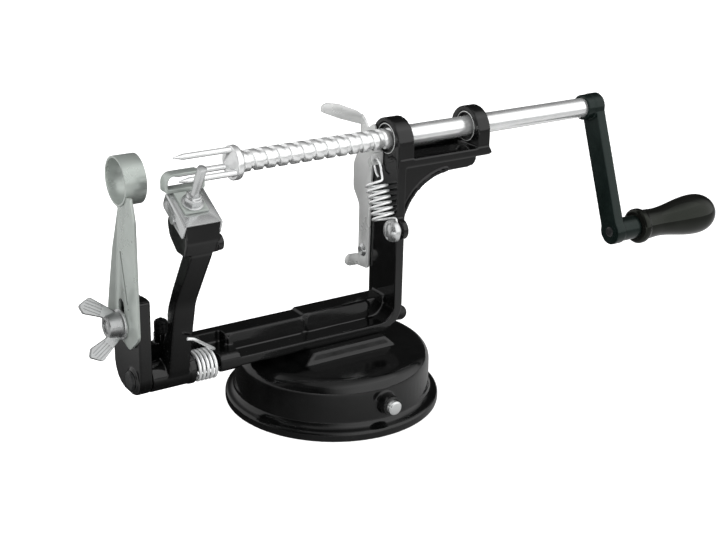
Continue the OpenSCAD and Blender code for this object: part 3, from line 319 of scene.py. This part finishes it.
# one entry for each slot, and three that vary one; shades are linear, scales per metre
bumpReach = 0.4 * mm
finishLooks = {
    "black_enamel": {"dark": (0.0016, 0.0017, 0.0017), "light": (0.0032, 0.0033, 0.0033), "metal": 0.0,
                     "specular": 0.44, "rough": (0.09, 0.15), "mottle": 160.0,
                     "lines": (1.0, 1.0, 1.0), "lineScale": 700.0, "bump": 0.025},
    "crank_enamel": {"dark": (0.0032, 0.0062, 0.0054), "light": (0.0052, 0.0092, 0.0082), "metal": 0.0,
                     "specular": 0.27, "rough": (0.18, 0.26), "mottle": 150.0, "tint": (0.84, 1.0, 0.95),
                     "lines": (1.0, 1.0, 1.0), "lineScale": 900.0, "bump": 0.04},
    "shaft_chrome": {"dark": (0.84, 0.85, 0.85), "light": (0.92, 0.925, 0.925), "metal": 0.72,
                     "specular": 0.5, "rough": (0.17, 0.24), "mottle": 260.0,
                     "lines": (1.0, 0.02, 0.02), "lineScale": 2600.0, "bump": 0.015},
    "bright_zinc": {"dark": (0.58, 0.59, 0.59), "light": (0.64, 0.65, 0.65), "metal": 0.85,
                    "specular": 0.5, "rough": (0.19, 0.27), "mottle": 180.0,
                    "lines": (1.0, 1.0, 1.0), "lineScale": 900.0, "bump": 0.02},
    "sheet_steel": {"dark": (0.355, 0.387, 0.363), "light": (0.41, 0.442, 0.418), "metal": 0.5,
                    "specular": 0.45, "rough": (0.26, 0.32), "mottle": 90.0,
                    "lines": (1.0, 1.0, 0.06), "lineScale": 600.0, "bump": 0.01},
    "lever_steel": {"dark": (0.58, 0.588, 0.58), "light": (0.645, 0.65, 0.645), "metal": 0.4,
                    "specular": 0.45, "rough": (0.26, 0.32), "mottle": 90.0, "slot": "sheet_steel",
                    "lines": (1.0, 1.0, 0.06), "lineScale": 600.0, "bump": 0.01},
    # the bushes carry painted shade: a dark ring round the shaft that stands for the recess in shadow
    "bush_steel": {"dark": (0.74, 0.75, 0.74), "light": (0.82, 0.825, 0.82), "metal": 0.6,
                   "specular": 0.45, "rough": (0.2, 0.28), "mottle": 200.0, "slot": "sheet_steel",
                   "lines": (1.0, 0.1, 0.1), "lineScale": 900.0, "bump": 0.01,
                   "paintedShade": (0.012, 0.012, 0.012), "paintedShadeRadius": 7.0 * mm, "paintedShadeEdge": 0.12 * mm},
    "wing_zinc": {"dark": (0.34, 0.345, 0.345), "light": (0.42, 0.43, 0.43), "metal": 0.9,
                  "specular": 0.5, "rough": (0.24, 0.34), "mottle": 260.0, "slot": "bright_zinc",
                  "lines": (1.0, 1.0, 1.0), "lineScale": 900.0, "bump": 0.03},
    "spring_wire": {"dark": (0.84, 0.85, 0.85), "light": (0.93, 0.94, 0.94), "metal": 0.5,
                    "specular": 0.5, "rough": (0.14, 0.22), "mottle": 500.0,
                    "lines": (1.0, 1.0, 1.0), "lineScale": 2400.0, "bump": 0.02},
    "dark_screw": {"dark": (0.008, 0.0082, 0.0084), "light": (0.015, 0.0155, 0.016), "metal": 0.0,
                   "specular": 0.34, "rough": (0.26, 0.4), "mottle": 380.0,
                   "lines": (1.0, 1.0, 1.0), "lineScale": 1300.0, "bump": 0.05},
    "pad_rubber": {"dark": (0.011, 0.011, 0.0115), "light": (0.02, 0.02, 0.021), "metal": 0.0,
                   "specular": 0.3, "rough": (0.62, 0.8), "mottle": 240.0,
                   "lines": (1.0, 1.0, 1.0), "lineScale": 1800.0, "bump": 0.12},
    "tip_vinyl": {"dark": (0.007, 0.007, 0.0075), "light": (0.012, 0.012, 0.0125), "metal": 0.0,
                  "specular": 0.34, "rough": (0.36, 0.5), "mottle": 300.0,
                  "lines": (1.0, 1.0, 1.0), "lineScale": 1600.0, "bump": 0.06},
    "grip_plastic": {"dark": (0.0042, 0.0045, 0.0038), "light": (0.007, 0.0074, 0.0064), "metal": 0.0,
                     "specular": 0.25, "rough": (0.08, 0.13), "mottle": 110.0, "tint": (0.92, 1.0, 0.86),
                     "lines": (0.1, 1.0, 1.0), "lineScale": 800.0, "bump": 0.03},
}


def makeFinish(name, look):
    first, second = name.split("_")
    material = bpy.data.materials.new(first + second.title())
    material.use_nodes = True
    nodes, link = material.node_tree.nodes, material.node_tree.links.new
    shader = nodes["Principled BSDF"]
    shader.inputs["Metallic"].default_value = look["metal"]
    shader.inputs["Specular IOR Level"].default_value = look["specular"]
    shader.inputs["Specular Tint"].default_value = (*look.get("tint", (1.0, 1.0, 1.0)), 1)
    mottle = nodes.new("ShaderNodeGroup")
    mottle.node_tree = groups["mottle"]
    mottle.inputs["Scale"].default_value = look["mottle"]
    mottle.inputs["Low"].default_value, mottle.inputs["High"].default_value = look["rough"]
    lines = nodes.new("ShaderNodeGroup")
    lines.node_tree = groups["drawnLines"]
    lines.inputs["Stretch"].default_value = look["lines"]
    lines.inputs["Scale"].default_value = look["lineScale"]
    shade = nodes.new("ShaderNodeMix")
    shade.data_type = "RGBA"
    shade.inputs["A"].default_value = (*look["dark"], 1)
    shade.inputs["B"].default_value = (*look["light"], 1)
    bump = nodes.new("ShaderNodeBump")
    bump.inputs["Strength"].default_value = look["bump"]
    bump.inputs["Distance"].default_value = bumpReach
    link(mottle.outputs["Value"], shader.inputs["Roughness"])
    link(mottle.outputs["Mask"], shade.inputs["Factor"])
    link(shade.outputs["Result"], shader.inputs["Base Color"])
    link(lines.outputs["Mask"], bump.inputs["Height"])
    link(bump.outputs["Normal"], shader.inputs["Normal"])
    # painted shade round the shaft, for the finishes that have it
    if "paintedShade" in look:
        addPaintedShade(nodes, link, shader, shade.outputs["Result"], look)
    return material


# painted shade near the shaft's axis: a dark colour that is not metallic, standing for the shadowed recess between
# the shaft and the bush rim; plain metal outside it
def addPaintedShade(nodes, link, shader, unshaded, look):
    place = nodes.new("ShaderNodeTexCoord")
    offset = nodes.new("ShaderNodeVectorMath")
    offset.operation = "SUBTRACT"
    offset.inputs[1].default_value = (0, 0, shaftZ)
    across = nodes.new("ShaderNodeVectorMath")
    across.operation = "MULTIPLY"
    across.inputs[1].default_value = (0, 1, 1)
    reach = nodes.new("ShaderNodeVectorMath")
    reach.operation = "LENGTH"
    edge = nodes.new("ShaderNodeMapRange")
    edge.inputs["From Min"].default_value = look["paintedShadeRadius"]
    edge.inputs["From Max"].default_value = look["paintedShadeRadius"] + look["paintedShadeEdge"]
    metal = nodes.new("ShaderNodeMath")
    metal.operation = "MULTIPLY"
    metal.inputs[1].default_value = look["metal"]
    shade = nodes.new("ShaderNodeMix")
    shade.data_type = "RGBA"
    shade.inputs["A"].default_value = (*look["paintedShade"], 1)
    link(place.outputs["Object"], offset.inputs[0])
    link(offset.outputs["Vector"], across.inputs[0])
    link(across.outputs["Vector"], reach.inputs[0])
    link(reach.outputs["Value"], edge.inputs["Value"])
    link(edge.outputs["Result"], metal.inputs[0])
    link(metal.outputs["Value"], shader.inputs["Metallic"])
    link(edge.outputs["Result"], shade.inputs["Factor"])
    link(unshaded, shade.inputs["B"])
    link(shade.outputs["Result"], shader.inputs["Base Color"])


finishes = {name: makeFinish(name, look) for name, look in finishLooks.items()}
for sub in frame["record"]["subparts"]:
    node = frame["nodes"][sub["node"]]
    node.data.materials.clear()
    node.data.materials.append(finishes[sub["material_slot"]])
print("finishes made:", len(finishes))

# cast pieces: the solid's own shape with the soft edges of a painted casting
castLooks = {
    "frameBody": {"node": "frame_casting", "body": "frame", "finish": "black_enamel",
                  "voxel": 0.5 * mm, "rounding": 3, "keep": 0.45},
    "domeBody": {"node": "base_dome", "body": "frame", "finish": "black_enamel",
                 "voxel": 0.6 * mm, "rounding": 5, "keep": 0.6},
    "armBody": {"node": "peel_arm", "body": "peel_arm", "finish": "black_enamel",
                "voxel": 0.4 * mm, "rounding": 3, "keep": 0.6},
    "crankBody": {"node": "crank_arm", "body": "shaft", "finish": "crank_enamel",
                  "voxel": 0.4 * mm, "rounding": 3, "keep": 0.7},
    "wingNutBody": {"node": "wing_nut", "body": "wing_nut", "finish": "wing_zinc",
                    "voxel": 0.25 * mm, "rounding": 4, "keep": 0.7},
}

# lines cast into both faces of both wings
hatchLook = {"lines": 4, "step": 1.35 * mm, "width": 0.5 * mm, "depth": 0.6 * mm, "length": 8.0 * mm,
             "along": Vector((-0.85, 0.53)), "middle": Vector((-10.6, 9.6)) * mm, "half": 1.2 * mm,
             "turn": math.radians(64)}


def hatchWings(nut, look):
    axis = jointSpot["wing_nut_turn"]
    along = look["along"].normalized()
    across = Vector((-along.y, along.x)) * look["step"]
    grooves = []
    for turn in (look["turn"], look["turn"] + math.pi):
        wing = Matrix.Translation((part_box("wing_nut")[1].x, axis.y, axis.z)) @ Matrix.Rotation(turn, 4, "X")
        for i in range(2 * look["lines"]):
            spot = look["middle"] + across * (i // 2 - (look["lines"] - 1) / 2)
            face = look["half"] if i % 2 else -look["half"]
            place = (wing @ Matrix.Translation((*spot, face))
                     @ Matrix.Rotation(math.atan2(along.y, along.x), 4, "Z")
                     @ Matrix.Diagonal((look["length"], look["width"], 2 * look["depth"], 1)))
            grooves.append(grooveBlock("wingGroove", place))
    for groove in grooves:
        groove.select_set(True)
    bpy.ops.object.join()
    cutAway(nut, grooves[-1])


for name, look in castLooks.items():
    casting = copyOfNode(look["node"], name)
    castRound(casting, look)
    if name == "wingNutBody":
        hatchWings(casting, hatchLook)
    finishPiece(casting, look["body"], look["finish"], look["node"])

# sheet, turned and formed pieces: their own shape with broken edges; node, body, finish, edge width
edgeLooks = {
    "leverSheet": ("release_lever", "release_lever", "lever_steel", 0.14 * mm),
    "slicerSheet": ("slicer_blade", "slicer", "sheet_steel", 0.12 * mm),
    "coringTube": ("coring_ring", "slicer", "sheet_steel", 0.12 * mm),
    "holderSheet": ("blade_holder", "peel_arm", "bright_zinc", 0.24 * mm),
    "loopBlade": ("peel_blade", "peel_arm", "sheet_steel", 0.12 * mm),
    "bladeNut": ("blade_nut", "peel_arm", "bright_zinc", 0.16 * mm),
    "bladeWasher": ("blade_washer", "peel_arm", "bright_zinc", 0.12 * mm),
    "bladeBolt": ("blade_bolt", "peel_arm", "bright_zinc", 0.2 * mm),
    "springScrewHead": ("spring_screw", "frame", "bright_zinc", 0.14 * mm),
    "frontBushRing": ("front_bush", "bushes", "bush_steel", 0.16 * mm),
    "rearBushRing": ("rear_bush", "bushes", "bush_steel", 0.16 * mm),
    "axleEnd": ("clamp_axle", "clamp", "bright_zinc", 0.14 * mm),
    "clampStrap": ("clamp_lever", "clamp", "sheet_steel", 0.3 * mm),
    "clampSleeve": ("clamp_tip", "clamp", "tip_vinyl", 0.2 * mm),
    "clampPeen": ("clamp_rivet", "clamp", "bright_zinc", 0.2 * mm),
    "leverPin": ("lever_rivet", "frame", "bright_zinc", 0.14 * mm),
    "pivotBar": ("pivot_rod", "frame", "dark_screw", 0.2 * mm),
    "gripStud": ("grip_pin", "shaft", "dark_screw", 0.14 * mm),
    "forkTines": ("apple_fork", "shaft", "shaft_chrome", 0.14 * mm),
    "studBar": ("blade_stud", "frame", "bright_zinc", 0.2 * mm),
    "studRing": ("stud_washer", "frame", "bright_zinc", 0.16 * mm),
}

# the holder's bends, its slope as rise over run
bendLooks = {"holderSheet": {"radius": 1.5 * mm, "segments": 5, "slope": 9.6 / 17.6, "near": 0.05 * mm}}

# the line pressed into the slicing blade, from foot to top
creaseLook = {"top": Vector((-1.3, 95.6)) * mm, "foot": Vector((-7.0, 72.4)) * mm,
              "width": 1.2 * mm, "depth": 0.9 * mm}


def pressCrease(blade, look):
    run = look["top"] - look["foot"]
    middle = (look["top"] + look["foot"]) / 2
    place = (Matrix.Translation((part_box("slicer_blade")[0].x, *middle))
             @ Matrix.Rotation(-math.atan2(run[0], run[1]), 4, "X")
             @ Matrix.Diagonal((2 * look["depth"], look["width"], run.length, 1)))
    cutAway(blade, grooveBlock("creaseGroove", place))


for name, (node, body, finish, width) in edgeLooks.items():
    sheet = softenedCopy(node, name, width, bendLooks.get(name))
    if name == "slicerSheet":
        pressCrease(sheet, creaseLook)
    finishPiece(sheet, body, finish, node)

# feed shaft: a rolled thread swept from the profile of one turn, then a plain bar
threadLook = {"lead": 6.35 * mm, "width": 2.2 * mm, "depth": 0.95 * mm, "radius": 5.0 * mm, "ease": 0.32 * mm,
              "flank": ((-1.0, 0.0), (-0.4, 0.12), (0.2, 0.5), (1.0, 1.0)), "floor": 1.04,
              "frontX": -50.0 * mm, "noseX": 27.25 * mm, "backX": 38.45 * mm, "turnsAhead": 13.5,
              "turns": 16, "steps": 48}
barLook = {"sides": 64, "overlap": 0.8 * mm, "chamfer": 0.4 * mm, "bossLength": 5.0 * mm, "bossGap": 0.1 * mm,
           "spigotBack": 3.8 * mm, "endFillet": 0.5 * mm,
           "spigot": 3.2 * mm, "spigotSides": 32, "spigotOut": 3.0 * mm, "spigotIn": 1.0 * mm}


def makeThread(look):
    lead, width, depth, ease = look["lead"], look["width"], look["depth"], look["ease"]
    startX = look["noseX"] - look["turnsAhead"] * lead
    low = lead / 2 - width / 2
    profile = [(0, 0)] + [(low + ease * x, -h * depth) for x, h in look["flank"]]
    profile.append((lead / 2, -look["floor"] * depth))
    profile += [(lead - x, h) for x, h in reversed(profile[:-1])]
    clearSelection()
    bpy.ops.mesh.primitive_plane_add(size=1 * mm)
    screw = startPiece("feedScrew")
    bpy.ops.object.mode_set(mode="EDIT")
    bpy.ops.mesh.select_all(action="SELECT")
    bpy.ops.mesh.merge(type="CENTER")
    bpy.ops.transform.translate(value=(startX, look["radius"], 0))
    for (x, h), (nextX, nextH) in zip(profile, profile[1:]):
        bpy.ops.mesh.extrude_vertices_move(TRANSFORM_OT_translate={"value": (nextX - x, nextH - h, 0)})
    bpy.ops.object.mode_set(mode="OBJECT")
    applyModifier(screw, "SCREW", axis="X", angle=2 * math.pi, screw_offset=lead, iterations=look["turns"],
                  steps=look["steps"], render_steps=look["steps"], use_merge_vertices=True,
                  merge_threshold=1e-6, use_smooth_shade=True)
    for x, side in ((look["frontX"], -1), (look["backX"], 1)):
        bpy.ops.object.mode_set(mode="EDIT")
        bpy.ops.mesh.select_all(action="SELECT")
        bpy.ops.mesh.bisect(plane_co=(x, 0, 0), plane_no=(side, 0, 0), use_fill=True, clear_outer=True)
        bpy.ops.object.mode_set(mode="OBJECT")
    closeUp(screw)
    return screw


def makeShaft(thread, look):
    screw = makeThread(thread)
    radius, chamfer = thread["radius"], look["chamfer"]
    start, endX = thread["backX"] - look["overlap"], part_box("feed_shaft")[1].x
    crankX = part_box("crank_arm")[0].x + look["bossLength"] - look["bossGap"]
    bar = turned("shaftBar", filleted([
        (axisRadius, start, 0), (radius - chamfer, start, 0), (radius, start + chamfer, 0),
        (radius, crankX, 0), (look["spigotBack"], crankX, 0),
        (look["spigotBack"], endX, look["endFillet"]), (axisRadius, endX, 0)]), look["sides"])
    tip, root = thread["frontX"] - look["spigotOut"], thread["frontX"] + look["spigotIn"]
    nose = turned("shaftNose", [(axisRadius, tip), (look["spigot"], tip), (look["spigot"], root),
                                (axisRadius, root)], look["spigotSides"])
    for part in (bar, nose):
        layAlongX(part, (0, 0, 0))
    makeActive(screw)
    bar.select_set(True)
    nose.select_set(True)
    bpy.ops.object.join()
    screw.location = (0, 0, shaftZ)
    settle(screw)
    return screw


finishPiece(makeShaft(threadLook, barLook), "shaft", "shaft_chrome", "feed_shaft")

# handle grip: collar, waist and swelling end, bored for its pin
gripLook = {"neck": 15.2 * mm, "swell": 21.6 * mm, "collar": 18.6 * mm, "collarLength": 3.4 * mm,
            "collarEdge": 0.3 * mm, "collarFillet": 1.5 * mm,
            "throat": (0.5 * mm, 1.7 * mm, 2.2 * mm),  # out from the neck, past the collar, fillet
            "waist": 0.24, "fullest": 0.76, "endReach": 0.96, "endPower": 2.2, "rings": 32,
            "bore": 2.56 * mm, "boreLeft": 8.0 * mm, "sides": 72}


def makeGrip(look):
    low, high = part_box("handle_grip")
    length = high.x - low.x
    neck, collar, fillet = look["neck"] / 2, look["collar"] / 2, look["collarFillet"]
    boreEnd = length - look["boreLeft"]
    throatOut, throatPast, throatFillet = look["throat"]
    rings = [(axisRadius, boreEnd), (look["bore"], boreEnd), (look["bore"], 0)]
    rings += filleted([(neck, 0, 0), (collar, look["collarEdge"], fillet),
                       (collar, look["collarLength"], fillet),
                       (neck + throatOut, look["collarLength"] + throatPast, throatFillet),
                       (neck, length * look["waist"], 0)])
    for i in range(1, look["rings"] + 1):
        t = look["waist"] + (1 - look["waist"]) * i / look["rings"]
        if t < look["fullest"]:
            ease = 0.5 - 0.5 * math.cos(math.pi * (t - look["waist"]) / (look["fullest"] - look["waist"]))
            radius = neck + (look["swell"] - look["neck"]) / 2 * ease
        else:
            past = (t - look["fullest"]) / (1 - look["fullest"]) * look["endReach"]
            radius = look["swell"] / 2 * math.sqrt(max(0.0, 1 - past ** look["endPower"]))
        rings.append((radius, length * t))
    rings.append((axisRadius, length))
    grip = turned("gripBody", rings, look["sides"])
    layAlongX(grip, (low.x, jointSpot["grip_spin"].y, jointSpot["grip_spin"].z))
    return grip


finishPiece(makeGrip(gripLook), "grip", "grip_plastic", "handle_grip")

# release spring: ring in the lever's ear, near seven coils, hook round the screw
releaseLook = {"wire": 1.2 * mm, "outer": 11.4 * mm, "step": 2.7 * mm, "x": 22.1 * mm, "coilPoints": 110,
               "fromTurn": math.radians(110), "toTurn": math.radians(2505),
               "ring": Vector((1.7, 117.0)) * mm, "ringShare": 0.86, "ringTurn": math.radians(-14),
               "ringShift": 1.1 * mm, "ringNeck": 2.3 * mm, "ringBack": 2.1 * mm,
               "neckBend": Vector((0.5, 0.2, -0.7)) * mm, "screw": Vector((-12.8, 85.0)) * mm,
               "hookX": 27.1 * mm, "hookRadius": 3.2 * mm, "hookLead": Vector((-0.1, 0.6)) * mm,
               "hookInset": 0.55, "hookEntry": (-60, 1.2)}  # entry in degrees and share of the hook's radius


def makeReleaseSpring(look):
    coil = (look["outer"] - look["wire"]) / 2
    ring = coil * look["ringShare"]
    run = (look["screw"] - look["ring"]).normalized()
    aside = Vector((run[1], -run[0]))
    top = look["ring"] + run * (2 * ring + look["ringNeck"]) - aside * look["ringShift"]
    screwDrop, screwSide = (look["screw"] - top).dot(run), (look["screw"] - top).dot(aside)
    coilDrop = look["step"] * (look["toTurn"] - look["fromTurn"]) / (2 * math.pi)
    hookA = look["hookX"] - look["x"]

    def spot(a, b, c):
        flat = top + aside * b + run * c
        return Vector((look["x"] + a, flat[0], flat[1]))

    def aroundScrew(degrees, share):
        turn = math.radians(degrees)
        return spot(hookA, screwSide + share * look["hookRadius"] * math.cos(turn),
                    screwDrop + share * look["hookRadius"] * math.sin(turn))

    points = []
    for degrees in range(-150, 121, 15):
        out = ring * math.sin(math.radians(degrees))
        points.append(spot(look["ringBack"] + out * math.sin(look["ringTurn"]),
                           look["ringShift"] + out * math.cos(look["ringTurn"]),
                           -look["ringNeck"] - ring * (1 + math.cos(math.radians(degrees)))))
    bendA, bendB, bendC = look["neckBend"]
    points.append(spot(bendA, coil + bendB, bendC))
    count = look["coilPoints"]
    for i in range(count + 1):
        turn = look["fromTurn"] + (look["toTurn"] - look["fromTurn"]) * i / count
        points.append(spot(coil * math.cos(turn), coil * math.sin(turn), coilDrop * i / count))
    leadA, leadC = look["hookLead"]
    points.append(spot(hookA + leadA, coil * look["hookInset"], coilDrop + leadC))
    points.append(aroundScrew(*look["hookEntry"]))
    points += [aroundScrew(degrees, 1) for degrees in range(-30, 241, 15)]
    spring = wire("releaseCoil", smoothPath(points, 3), look["wire"])
    coat(spring, "spring_wire", 180)
    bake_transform(spring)
    takeOver(spring, "release_spring")


makeReleaseSpring(releaseLook)

# arm spring: coils round the pivot rod, one end under the web, one leg out to the arm
armSpringLook = {"wire": 1.5 * mm, "radius": 6.7 * mm, "frontX": -78.95 * mm, "backX": -68.35 * mm,
                 "turns": 5.25, "turnPoints": 20, "webY": 3.0 * mm, "underWeb": 31.45 * mm,
                 "tail": ((5, 0), (1.5, 0), (-0.8, 0.4), (-2, 1.8)),  # mm in Y and Z, from under the web
                 "leg": ((-0.3, -1.8, 0.5), (-1.3, -3.2, 1.5), (-3, -4.6, 3), (-9, -9.4, 7.8),
                         (-14.4, -13.2, 12.2), (-16.6, -13.9, 13.6), (-19.4, -14.2, 14.4))}  # mm


def makeArmSpring(look):
    pivot = jointSpot["peel_arm_swing"]
    points = [Vector((look["frontX"], look["webY"] + y * mm, look["underWeb"] + z * mm))
              for y, z in look["tail"]]
    radius, count = look["radius"], round(look["turns"] * look["turnPoints"])
    for i in range(count + 1):
        turn = 2 * math.pi * look["turns"] * i / count
        x = look["frontX"] + (look["backX"] - look["frontX"]) * i / count
        points.append(Vector((x, pivot.y + radius * math.cos(turn), pivot.z + radius * math.sin(turn))))
    top = Vector((look["backX"], pivot.y, pivot.z + radius))
    leg = look["leg"]
    points += [top + Vector(step) * mm for step in leg]
    spring = wire("armCoil", smoothPath(points, 3), look["wire"])
    coat(spring, "spring_wire", 180)
    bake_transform(spring)
    takeOver(spring, "arm_spring")


makeArmSpring(armSpringLook)

# rubber pad under the dome: a lip and rings that seal, lifted in the middle by the stirrup
padLook = {"sides": 96, "floor": 0.5 * mm, "rings": 5, "ringWidth": 2.4 * mm, "ringEase": 0.3 * mm,
           "firstRing": 0.3, "ringStep": 0.12,
           "sealWidth": 4.0 * mm, "sealEase": 2.0 * mm, "sealFillet": 0.5 * mm,
           "lip": 2.1 * mm, "lipFillet": 0.8 * mm, "lipRise": 1.4,
           "crown": 4.2 * mm, "crownShare": 0.45, "crownFillet": 3.0 * mm, "blendFrom": 0.6 * mm}


def makePad(look):
    edge, floor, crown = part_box("suction_pad")[1].x, look["floor"], look["crown"]
    seal = edge - look["sealWidth"]
    steps = [(axisRadius, floor)]
    for i in range(look["rings"]):
        start = edge * (look["firstRing"] + look["ringStep"] * i)
        end = start + look["ringWidth"]
        steps += [(start, floor), (start + look["ringEase"], 0.0),
                  (end, 0.0), (end + look["ringEase"], floor)]
    steps += filleted([(seal - look["sealEase"], floor, 0), (seal, 0.0, look["sealFillet"]),
                       (edge, 0.0, look["sealFillet"]), (edge, look["lip"], look["lipFillet"]),
                       (seal, look["lip"] * look["lipRise"], look["crownFillet"]),
                       (edge * look["crownShare"], crown, look["crownFillet"]), (axisRadius, crown, 0)])
    pad = turned("padBody", steps, look["sides"])
    coat(pad, "pad_rubber")
    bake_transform(pad)
    takeOver(pad, "suction_pad")


makePad(padLook)

# stop screw with a ribbed head
stopLook = {"shank": 1.6 * mm, "headRadius": 3.2 * mm, "headHeight": 7.0 * mm, "footFillet": 0.4 * mm,
            "topFillet": 1.6 * mm, "bandFrom": 1.2 * mm, "bandTo": 5.2 * mm,
            "ribs": 20, "ribFrom": 1.0 * mm, "ribTo": 4.6 * mm, "ribDepth": 0.22 * mm, "ribInset": 0.1 * mm}


def makeStopScrew(look):
    low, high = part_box("stop_screw")
    head = high.z - look["headHeight"]
    shank, radius, band = look["shank"], look["headRadius"], head + look["bandFrom"]
    steps = [(axisRadius, low.z), (shank, low.z), (shank, head)]
    steps += filleted([(shank, head, 0), (radius, head, look["footFillet"]), (radius, band, 0)])
    steps += filleted([(radius, band, 0), (radius, head + look["bandTo"], look["topFillet"]),
                       (axisRadius, high.z, 0)])
    knob = turned("stopKnob", steps, look["ribs"] * 2)
    for face in knob.data.polygons:
        turn = math.atan2(face.center.y, face.center.x) / (2 * math.pi) * look["ribs"] * 2
        onBand = look["ribFrom"] < face.center.z - head < look["ribTo"] and abs(face.normal.z) < 0.2
        face.select = onBand and math.floor(turn) % 2 == 0
    bpy.ops.object.mode_set(mode="EDIT")
    bpy.ops.mesh.select_mode(type="FACE")
    bpy.ops.mesh.inset(thickness=look["ribInset"], depth=-look["ribDepth"], use_individual=True)
    bpy.ops.mesh.select_mode(type="VERT")
    bpy.ops.object.mode_set(mode="OBJECT")
    knob.location = ((low.x + high.x) / 2, (low.y + high.y) / 2, 0)
    settle(knob)
    return knob


finishPiece(makeStopScrew(stopLook), "frame", "dark_screw", "stop_screw")

# stage: pale floor, studio world, soft lamps and the photograph's camera
# zones of the floor as metal and enamel mirror it, and of the sky: direction, from, to, amount
stageLook = {"floorSize": 8.0, "floorDrop": 0.3 * mm, "paper": 0.62, "glow": 0.86, "dimPaper": 0.03,
             "zones": (((0.6, -0.8, 0.0), -0.05, 0.11, 0.72), ((0.6, -0.8, 0.0), 0.16, 0.4, -0.25),
                       ((-1.0, 0.0, 0.0), 0.1, 0.22, 0.55)),
             "worldDark": 0.03, "lampAim": Vector((0.02, 0.0, 0.08)),
             "skies": (((0.52, -0.82, 0.24), 0.25, 0.9, 1.47), ((0.0, 0.0, 1.0), 0.5, 0.95, 0.15),
                       ((-0.62, 0.72, 0.3), 0.58, 0.95, 0.85))}


# a base level and a smooth rise along each direction given
def sumOfRises(nodes, link, place, base, rises):
    level = nodes.new("ShaderNodeValue").outputs["Value"]
    level.default_value = base
    for direction, start, end, amount in rises:
        along = nodes.new("ShaderNodeVectorMath")
        along.operation = "DOT_PRODUCT"
        along.inputs[1].default_value = direction
        ramp = nodes.new("ShaderNodeMapRange")
        ramp.interpolation_type = "SMOOTHSTEP"
        for label, value in (("From Min", start), ("From Max", end), ("To Min", 0.0), ("To Max", amount)):
            ramp.inputs[label].default_value = value
        added = nodes.new("ShaderNodeMath")
        link(place, along.inputs[0])
        link(along.outputs["Value"], ramp.inputs["Value"])
        link(level, added.inputs[0])
        link(ramp.outputs["Result"], added.inputs[1])
        level = added.outputs["Value"]
    return level


def makeFloor(look):
    clearSelection()
    bpy.ops.mesh.primitive_plane_add(size=look["floorSize"], location=(0, 0, -look["floorDrop"]))
    floor = startPiece("floor")
    material = bpy.data.materials.new("floorPaper")
    material.use_nodes = True
    nodes, link = material.node_tree.nodes, material.node_tree.links.new
    nodes.remove(nodes["Principled BSDF"])
    place = nodes.new("ShaderNodeTexCoord").outputs["Object"]
    mirrored = sumOfRises(nodes, link, place, look["dimPaper"], look["zones"])
    path = nodes.new("ShaderNodeLightPath")
    shade = nodes.new("ShaderNodeMix")
    shade.inputs["A"].default_value = look["paper"]
    paper = nodes.new("ShaderNodeBsdfDiffuse")
    strength = nodes.new("ShaderNodeMath")
    strength.operation = "MULTIPLY"
    strength.inputs[1].default_value = look["glow"]
    glow = nodes.new("ShaderNodeEmission")
    both = nodes.new("ShaderNodeAddShader")
    link(path.outputs["Is Glossy Ray"], shade.inputs["Factor"])  # metal and enamel see the zones
    link(mirrored, shade.inputs["B"])
    link(shade.outputs["Result"], paper.inputs["Color"])
    link(path.outputs["Is Camera Ray"], strength.inputs[0])
    link(strength.outputs["Value"], glow.inputs["Strength"])
    link(paper.outputs["BSDF"], both.inputs[0])
    link(glow.outputs["Emission"], both.inputs[1])
    link(both.outputs["Shader"], nodes["Material Output"].inputs["Surface"])
    floor.data.materials.append(material)


def makeWorld(look):
    world = bpy.data.worlds.new("studio")
    bpy.context.scene.world = world
    world.use_nodes = True
    nodes, link = world.node_tree.nodes, world.node_tree.links.new
    around = nodes["Background"]
    place = nodes.new("ShaderNodeTexCoord").outputs["Generated"]
    level = sumOfRises(nodes, link, place, look["worldDark"], look["skies"])
    white = nodes.new("ShaderNodeBackground")
    white.inputs["Color"].default_value = (1, 1, 1, 1)
    path = nodes.new("ShaderNodeLightPath")
    pick = nodes.new("ShaderNodeMixShader")
    link(level, around.inputs["Color"])
    link(path.outputs["Is Camera Ray"], pick.inputs["Fac"])  # the camera sees white, metal the graded sky
    link(around.outputs["Background"], pick.inputs[1])
    link(white.outputs["Background"], pick.inputs[2])
    link(pick.outputs["Shader"], nodes["World Output"].inputs["Surface"])


lampLooks = {
    "topBox": {"spot": (0.15, -0.35, 1.5), "size": (2.2, 1.4), "power": 3.0, "mirrored": True},
    "leftFill": {"spot": (-1.25, -0.55, 0.75), "size": (1.0, 0.9), "power": 20.0, "mirrored": False},
    "rearFill": {"spot": (0.35, 1.4, 0.55), "size": (1.2, 0.8), "power": 9.0, "mirrored": False},
}


def makeLamps(looks, aim):
    for name, look in looks.items():
        lamp = bpy.data.lights.new(name, "AREA")
        lamp.shape = "RECTANGLE"
        lamp.size, lamp.size_y = look["size"]
        lamp.energy = look["power"]
        holder = bpy.data.objects.new(name, lamp)
        bpy.context.scene.collection.objects.link(holder)
        holder.visible_glossy = look["mirrored"]
        spot = Vector(look["spot"])
        holder.location = spot
        holder.rotation_euler = (aim - spot).to_track_quat("-Z", "Y").to_euler()


cameraLook = {"spot": Vector((-335.55, -535.54, 310.29)) * mm, "azimuth": -33.146, "pitch": 21.16,
              "roll": 1.254, "lens": 70.95, "sensor": 36.0, "nearest": 0.01}


def makeCamera(look):
    data = bpy.data.cameras.new("photoCamera")
    data.lens, data.sensor_width = look["lens"], look["sensor"]
    data.clip_start = look["nearest"]
    camera = bpy.data.objects.new("photoCamera", data)
    bpy.context.scene.collection.objects.link(camera)
    aim = Matrix.Rotation(math.radians(look["azimuth"]), 4, "Z")
    tip = Matrix.Rotation(math.radians(90 - look["pitch"]), 4, "X")
    roll = Matrix.Rotation(math.radians(look["roll"]), 4, "Z")
    camera.matrix_world = Matrix.Translation(look["spot"]) @ aim @ tip @ roll
    bpy.context.scene.camera = camera


makeFloor(stageLook)
makeWorld(stageLook)
makeLamps(lampLooks, stageLook["lampAim"])
makeCamera(cameraLook)
bpy.context.scene.view_settings.view_transform = "Standard"
print("stage set")
